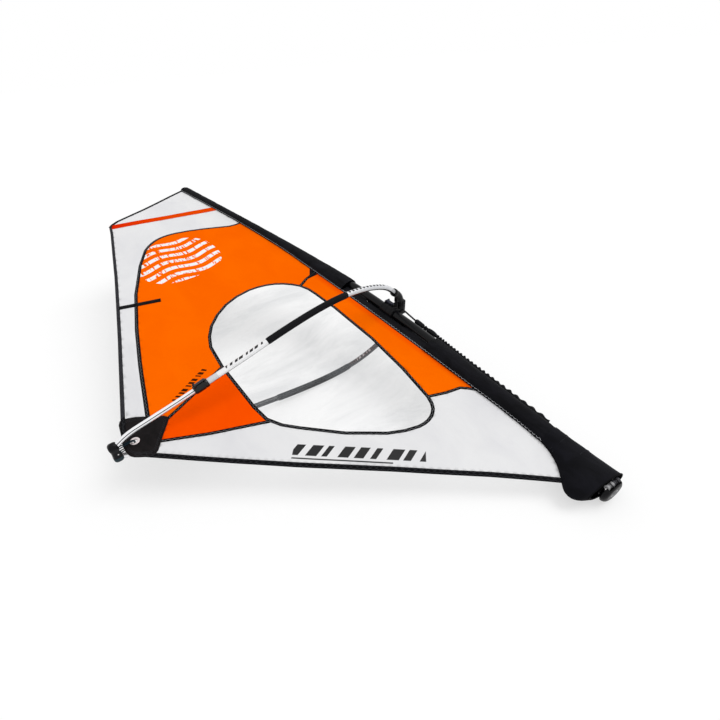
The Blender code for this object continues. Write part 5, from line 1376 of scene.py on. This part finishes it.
def makeFoot():
    radius, base, edge = foot["radius"], foot["base"], foot["edge"]
    rollerX, rollerZ = foot["rollerPlace"]
    along = Matrix.Rotation(pi / 2, 4, "Y")
    rounding = [(radius - edge * (1 - cos(pi / 2 * k / 12)), base + edge * (1 - sin(pi / 2 * k / 12)))
                for k in range(13)]
    collar, top = foot["collar"], foot["collarLength"]
    profile = [(0.0, top), (collar - 0.0015, top), (collar, top - 0.0015), (collar, 0.0075),
               (collar - 0.0012, 0.0062), (collar - 0.0012, 0.0045), (collar, 0.0032), (collar + 0.0006, 0.0003),
               (radius * 0.86, 0.0), (radius - 0.001, -0.0055), (radius, -0.0068)] + rounding[1:] + [(0.0, base)]
    bm = newMesh()
    spunInto(bm, profile, along, 96)
    cup = addPiece("foot-cup", bm, "rig", nylonBlack, cupMatrix, 30, ["foot_cup"])
    pocketHalf = foot["rollerLength"] + 0.0025
    pocket = newMesh()
    boxInto(pocket, (rollerX - foot["roller"] - 0.006, -pocketHalf, rollerZ - foot["roller"] - 0.002),
            (rollerX + foot["roller"] + 0.002, pocketHalf, radius + 0.02))
    buttonX = foot["buttonX"]
    cuts = [rodTool((0, 0, 0), (foot["collarLength"] + 0.01, 0, 0), foot["tube"] + 0.0003),
            rodTool((base - 0.01, 0, 0), (0.001, 0, 0), foot["bush"] + 0.0003, 48), pocket,
            rodTool((rollerX, -pocketHalf - 0.02, rollerZ), (rollerX, pocketHalf + 0.02, rollerZ), 0.0028, 24),
            rodTool((buttonX, -radius - 0.01, 0), (buttonX, -radius + 0.012, 0), foot["button"] + 0.0004)]
    for k in range(10):
        turn = 2 * pi * (k + 0.5) / 10
        y, z = radius * sin(turn), radius * cos(turn)
        if z < 0.015 and abs(z) > 0.012:
            cuts.append(rodTool((-0.012, y * 1.035, z * 1.035), (0.004, y * 1.035, z * 1.035), 0.0045, 24))
    carve(cup, [(tool, cupMatrix) for tool in cuts])
    bm = newMesh()
    inner, outer = foot["socket"], foot["bush"]
    spunInto(bm, [(inner, -0.0003), (outer, -0.0003), (outer, base + 0.0008), (outer - 0.0008, base),
                  (inner + 0.0015, base), (inner, base + 0.0020)], along, 64, ring=True)
    addPiece("socket-bush", bm, "rig", nylonGrey, cupMatrix, 30, ["socket_bush"])
    half = foot["rollerLength"] / 2 - 0.0003
    for name, side in (("front", -1), ("rear", 1)):
        bm = newMesh()
        spunInto(bm, rollerProfile(foot["roller"], half, 0.75, 0.84, 0.80), steps=48, ring=True)
        place = Matrix.Translation((rollerX, side * (0.0006 + foot["rollerLength"]) / 2, rollerZ))
        matrix = cupMatrix @ place @ Matrix.Rotation(pi / 2, 4, "X")
        addPiece("foot-roller-" + name, bm, "foot_roller_" + name, nylonGrey if name == "rear" else nylonDark,
                 matrix, 35, ["foot_roller_" + name])
    bm = newMesh()
    b, proud = foot["button"], foot["proud"]
    spunInto(bm, [(0.0, 0.0008), (b * 0.5, 0.0005), (b * 0.72, 0.0), (b * 0.9, 0.0004), (b, 0.0016),
                  (b, 0.0080), (0.0, 0.0080)], Matrix.Rotation(-pi / 2, 4, "X"), 40)
    addPiece("release-button", bm, "release_button", nylonGrey,
             cupMatrix @ Matrix.Translation((buttonX, -radius - proud, 0)), 35, ["release_button"])
    over, side = foot["roller"] + foot["rope"] + 0.0003, foot["rollerLength"] / 2
    blockZ = mast["radius"] + 0.0080
    run = [(foot["blockX"] - 0.0003, side, blockZ), (0.050, side, blockZ + 0.004),
           (0.020, side, rollerZ + over * 0.55), (rollerX + 0.004, side, rollerZ + over),
           (rollerX - over * 0.70, side, rollerZ + over * 0.78),
           (rollerX - over * 1.02, side * 0.85, rollerZ + over * 0.1),
           (rollerX - over * 1.05, 0.0, rollerZ - over * 0.15)]
    path = run + [(x, -y, z) for x, y, z in run[-2::-1]]
    bm = newMesh()
    sweepInto(bm, evenLine(smoothLine(path, 0.003), 0.003), foot["rope"], 12, hint=(1, 0.2, 0))
    addPiece("downhaul-line", bm, "rig", ropeBlack, cupMatrix, nodes=["downhaul_line"])


makeFoot()
print("tail and foot made")


# sewing, drawn by Geometry Nodes along lines on the cloth

sewingSockets = (("Pitch", "Float"), ("Across", "Float"), ("Thread", "Float"), ("Normal", "Vector"),
                 ("Material", "Material"))


def startTree(name):
    # a tree with the sewing's inputs, its line cut to the pitch and the line's tangent
    tree = bpy.data.node_groups.new(name, "GeometryNodeTree")
    tree.interface.new_socket("Geometry", in_out="INPUT", socket_type="NodeSocketGeometry")
    for label, kind in sewingSockets:
        tree.interface.new_socket(label, in_out="INPUT", socket_type="NodeSocket" + kind)
    tree.interface.new_socket("Geometry", in_out="OUTPUT", socket_type="NodeSocketGeometry")
    given, result = addNode(tree, "NodeGroupInput").outputs, addNode(tree, "NodeGroupOutput")
    line = addNode(tree, "GeometryNodeResampleCurve", {"mode": "LENGTH"},
                   {"Curve": given["Geometry"], "Length": given["Pitch"]}).outputs[0]
    return tree, given, result, line, addNode(tree, "GeometryNodeInputTangent").outputs[0]


def finishTree(tree, last, given, result):
    real = addNode(tree, "GeometryNodeRealizeInstances", {}, {0: last}).outputs[0]
    done = addNode(tree, "GeometryNodeSetMaterial", {},
                   {"Geometry": real, "Material": given["Material"]}).outputs[0]
    tree.links.new(done, result.inputs[0])
    return tree


def zigzagTree():
    # a thread that steps from side to side of the line
    tree, given, result, line, tangent = startTree("zigzagThread")
    side = addNode(tree, "ShaderNodeVectorMath", {"operation": "CROSS_PRODUCT"},
                   {0: tangent, 1: given["Normal"]}).outputs[0]
    odd = mathNode(tree, "MODULO", addNode(tree, "GeometryNodeInputIndex").outputs[0], 2.0)
    reach = times(tree, mathNode(tree, "MULTIPLY_ADD", odd, 2.0, -1.0), given["Across"])
    offset = addNode(tree, "ShaderNodeVectorMath", {"operation": "SCALE"}, {0: side, "Scale": reach}).outputs[0]
    moved = addNode(tree, "GeometryNodeSetPosition", {}, {"Geometry": line, "Offset": offset}).outputs[0]
    ring = addNode(tree, "GeometryNodeCurvePrimitiveCircle", {"Resolution": 5}, {"Radius": given["Thread"]}).outputs[0]
    tube = addNode(tree, "GeometryNodeCurveToMesh", {"Fill Caps": True},
                   {"Curve": moved, "Profile Curve": ring}).outputs[0]
    return finishTree(tree, tube, given, result)


def runningTree():
    # separate stitches along the line, each as long as Across
    tree, given, result, line, tangent = startTree("runningThread")
    stitch = addNode(tree, "GeometryNodeMeshCylinder", {"Vertices": 6},
                     {"Radius": given["Thread"], "Depth": given["Across"]}).outputs["Mesh"]
    turn = addNode(tree, "FunctionNodeAlignRotationToVector", {"axis": "Z"}, {"Vector": tangent}).outputs[0]
    points = addNode(tree, "GeometryNodeInstanceOnPoints", {},
                     {"Points": line, "Instance": stitch, "Rotation": turn}).outputs[0]
    return finishTree(tree, points, given, result)


sewing = {"zigzag": zigzagTree(), "running": runningTree()}


def sew(name, lines, kind, thread, pitch, across, radius):
    # lines are runs of world points; one mesh holds them all
    data = bpy.data.curves.new(name, "CURVE")
    data.dimensions = "3D"
    for points in lines:
        spline = data.splines.new("POLY")
        spline.points.add(len(points) - 1)
        for i, p in enumerate(points):
            spline.points[i].co = (*p, 1.0)
    guide = linked(name, data)
    tree = sewing[kind]
    step = guide.modifiers.new("sewing", "NODES")
    step.node_group = tree
    normal = turnToWorld.to_3x3() @ Vector((0, 0, 1))
    values = {"Pitch": pitch, "Across": across, "Thread": radius, "Normal": normal, "Material": thread}
    for item in tree.interface.items_tree:
        if item.name in values and item.in_out == "INPUT":
            step[item.identifier] = values[item.name]
    guide.update_tag()
    bpy.context.view_layer.update()
    graph = bpy.context.evaluated_depsgraph_get()
    mesh = bpy.data.meshes.new_from_object(guide.evaluated_get(graph))
    bpy.data.objects.remove(guide, do_unlink=True)
    bpy.data.curves.remove(data)
    piece = linked(name, mesh)
    mesh.name = name
    mesh.shade_smooth()
    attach(piece, "rig")


seams = {
    "head": [(3.325, 0.030), (3.181, 0.370), (3.105, 0.580), (3.052, 0.640)],
    "leech": [(3.052, 0.640), (2.941, 0.667), (2.700, 0.735), (2.414, 0.814), (2.110, 0.903),
              (1.827, 0.987), (1.500, 1.088), (1.240, 1.168)],
    "foot": [(0.100, 0.078), (0.285, 0.260), (0.522, 0.506), (0.754, 0.752), (0.986, 0.992), (1.150, 1.158)],
    "window": [(1.678, 0.090), (1.785, 0.185), (1.822, 0.320), (1.778, 0.475), (1.665, 0.610),
               (1.520, 0.684), (1.365, 0.706), (1.170, 0.713), (0.990, 0.712), (0.873, 0.639),
               (0.740, 0.522), (0.640, 0.405), (0.588, 0.290), (0.602, 0.205), (0.675, 0.155),
               (0.860, 0.118), (1.100, 0.086), (1.400, 0.071), (1.560, 0.072)],
    "leechSeam": [(2.560, -0.035), (2.562, 0.045), (2.640, 0.200), (2.693, 0.360), (2.682, 0.480),
                  (2.600, 0.580), (2.447, 0.668), (2.168, 0.792), (1.864, 0.896), (1.600, 0.975), (1.265, 1.066)],
    "clewSeam": [(1.220, 1.040), (1.290, 0.873), (1.365, 0.706)],
    "footSeam": [(1.160, 1.090), (1.067, 0.914), (0.972, 0.708)],
    "gusset": [(1.678, 0.090), (1.714, 0.028), (1.742, -0.052)],
    "tack": [(0.675, 0.155), (0.642, 0.080), (0.625, 0.020), (0.575, -0.022)],
    "batten": [(3.045, 0.650), (2.956, 0.318), (2.859, -0.042)],
    "patch": [(1.338, 1.150), (1.322, 1.094), (1.286, 1.046), (1.243, 0.998), (1.190, 1.030), (1.148, 1.062),
              (1.102, 1.101), (1.128, 1.154), (1.160, 1.178), (1.215, 1.180), (1.268, 1.168)],
}


def onCloth(line, lift, offset=0.0, closed=False, step=0.008):
    # world points along a line on the sail, moved sideways by offset
    flat = smoothLine(line, step, closed)
    if closed:
        flat.append(flat[0])
    out = []
    for i, p in enumerate(flat):
        run = (flat[min(i + 1, len(flat) - 1)] - flat[max(i - 1, 0)]).normalized()
        x, y = p.x - run.y * offset, p.y + run.x * offset
        out.append(rigMatrix @ Vector((x, y, sailHeight(x, y) + lift)))
    return out


def clearOfPatch(line):
    # the part of a seam that the clew patch doesn't cover
    ring, shown = seams["patch"], []
    for p in smoothLine(line, 0.008):
        covered = False
        for (ax, ay), (bx, by) in zip(ring, ring[1:] + ring[:1]):
            if (ay > p.y) != (by > p.y) and p.x < (bx - ax) * (p.y - ay) / (by - ay) + ax:
                covered = not covered
        if not covered:
            shown.append((p.x, p.y))
    return shown


def makeSewing():
    top = sail["tapeThick"] / 2 + 0.0005
    taped = ("leechSeam", "clewSeam", "footSeam", "gusset", "tack")
    zig = [onCloth(clearOfPatch(seams[name]), top) for name in taped]
    zig.append(onCloth(seams["window"], top, closed=True))
    sew("seam-zigzags", zig, "zigzag", threadGrey, 0.011, 0.0032, 0.0006)
    zig = [onCloth(seams[name], top) for name in ("head", "leech")]
    sew("edge-zigzags", zig, "zigzag", threadDark, 0.011, 0.0038, 0.0008)
    zig = [onCloth(seams["foot"], top, offset) for offset in (-0.005, 0.005)]
    sew("foot-zigzags", zig, "zigzag", threadDark, 0.011, 0.0028, 0.0008)
    lines = [onCloth(seams["batten"], 0.0028, offset) for offset in (-0.0262, 0.0262)]
    sew("batten-stitches", lines, "running", threadRed, 0.007, 0.0045, 0.0006)
    middle = Vector((1.215, 1.100))
    lines = []
    for share in (0.86, 0.80):
        line = [tuple(middle + (Vector(p) - middle) * share) for p in seams["patch"]]
        lines.append(onCloth(line, clew["thick"] / 2 + 0.0004, closed=True))
    sew("patch-stitches", lines, "running", threadDark, 0.009, 0.0050, 0.0007)
    lines = []
    for low, high in ((sleeve["lowX"], sleeve["cutLowX"]), (sleeve["cutHighX"], sleeve["topX"])):
        run = []
        for x in stations(low + 0.004, high - 0.004, 0.012):
            y, z = eggPoint(sleeveSection(x), pi - 0.30)
            run.append(rigMatrix @ Vector((x, y, z + 0.0014)))
        lines.append(run)
    flange = []
    for x in stations(sleeve["cutLowX"] + 0.004, sleeve["cutHighX"] - 0.004, 0.012):
        y = heightOn(sleeve["rear"], x) - 0.008
        flange.append(rigMatrix @ Vector((x, y, sailHeight(x, y) + top)))
    lines.append(flange)
    sew("sleeve-zigzags", lines, "zigzag", threadPale, 0.009, 0.0030, 0.0011)
    lines = []
    for x in (0.112, 0.124, 0.199, 0.211):
        front, rear, half, sharp = padSection(x)
        section = (front, rear, half + 0.0004, sharp)
        lines.append([rigMatrix @ Vector((x, *eggPoint(section, 2 * pi * k / 120))) for k in range(8, 53)])
    sew("pad-stitches", lines, "running", threadDark, 0.006, 0.0038, 0.0006)


makeSewing()
print("sewing made")


# the frame's own metal and hidden pieces take finished materials

carried = {
    "mast_ferrule": mastGlass, "mast_tip_plug": nylonBlack, "foot_tube": steelBright, "roller_axle": steelBright,
    "tack_block": steelBright, "clamp_liner": rubberDark, "lever_pin": steelBright, "fold_pin": steelBright,
    "tail_axle": steelBright,
}
for node, finish in carried.items():
    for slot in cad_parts[node].material_slots:
        slot.material = finish


# floor and light

studio = {"sun": 1.35, "sunAngle": 42, "ambient": 0.66, "from": (-0.55, -1.0, 1.55), "floorTone": 0.42,
          "floorGlow": 0.59}


def makeStudio():
    made, tree, shader = newMaterial("studioFloor", "#FFFFFF", 1.0)
    shader.inputs["Base Color"].default_value = (studio["floorTone"],) * 3 + (1.0,)
    shader.inputs["Specular IOR Level"].default_value = 0.0
    shader.inputs["Emission Color"].default_value = (1.0, 1.0, 1.0, 1.0)
    shader.inputs["Emission Strength"].default_value = studio["floorGlow"]
    bm = bmesh.new()
    bmesh.ops.create_grid(bm, x_segments=1, y_segments=1, size=120)
    mesh = bpy.data.meshes.new("studio-floor")
    bm.to_mesh(mesh)
    bm.free()
    mesh.materials.append(made)
    floor = linked("studio-floor", mesh)
    data = bpy.data.lights.new("studio-sun", "SUN")
    data.energy = studio["sun"]
    data.angle = radians(studio["sunAngle"])
    sun = linked("studio-sun", data)
    sun.rotation_euler = Vector(studio["from"]).to_track_quat("Z", "Y").to_euler()
    world = bpy.data.worlds.new("studioWhite")
    world.use_nodes = True
    bpy.context.scene.world = world
    tree = world.node_tree
    rays = addNode(tree, "ShaderNodeLightPath").outputs
    passed = mathNode(tree, "MAXIMUM", rays["Is Glossy Ray"], rays["Is Transmission Ray"])
    seen = mathNode(tree, "MAXIMUM", rays["Is Camera Ray"], passed)
    strength = mathNode(tree, "MULTIPLY_ADD", seen, 1.0 - studio["ambient"], studio["ambient"])
    background = tree.nodes["Background"]
    background.inputs["Color"].default_value = (1, 1, 1, 1)
    tree.links.new(strength, background.inputs["Strength"])


makeStudio()
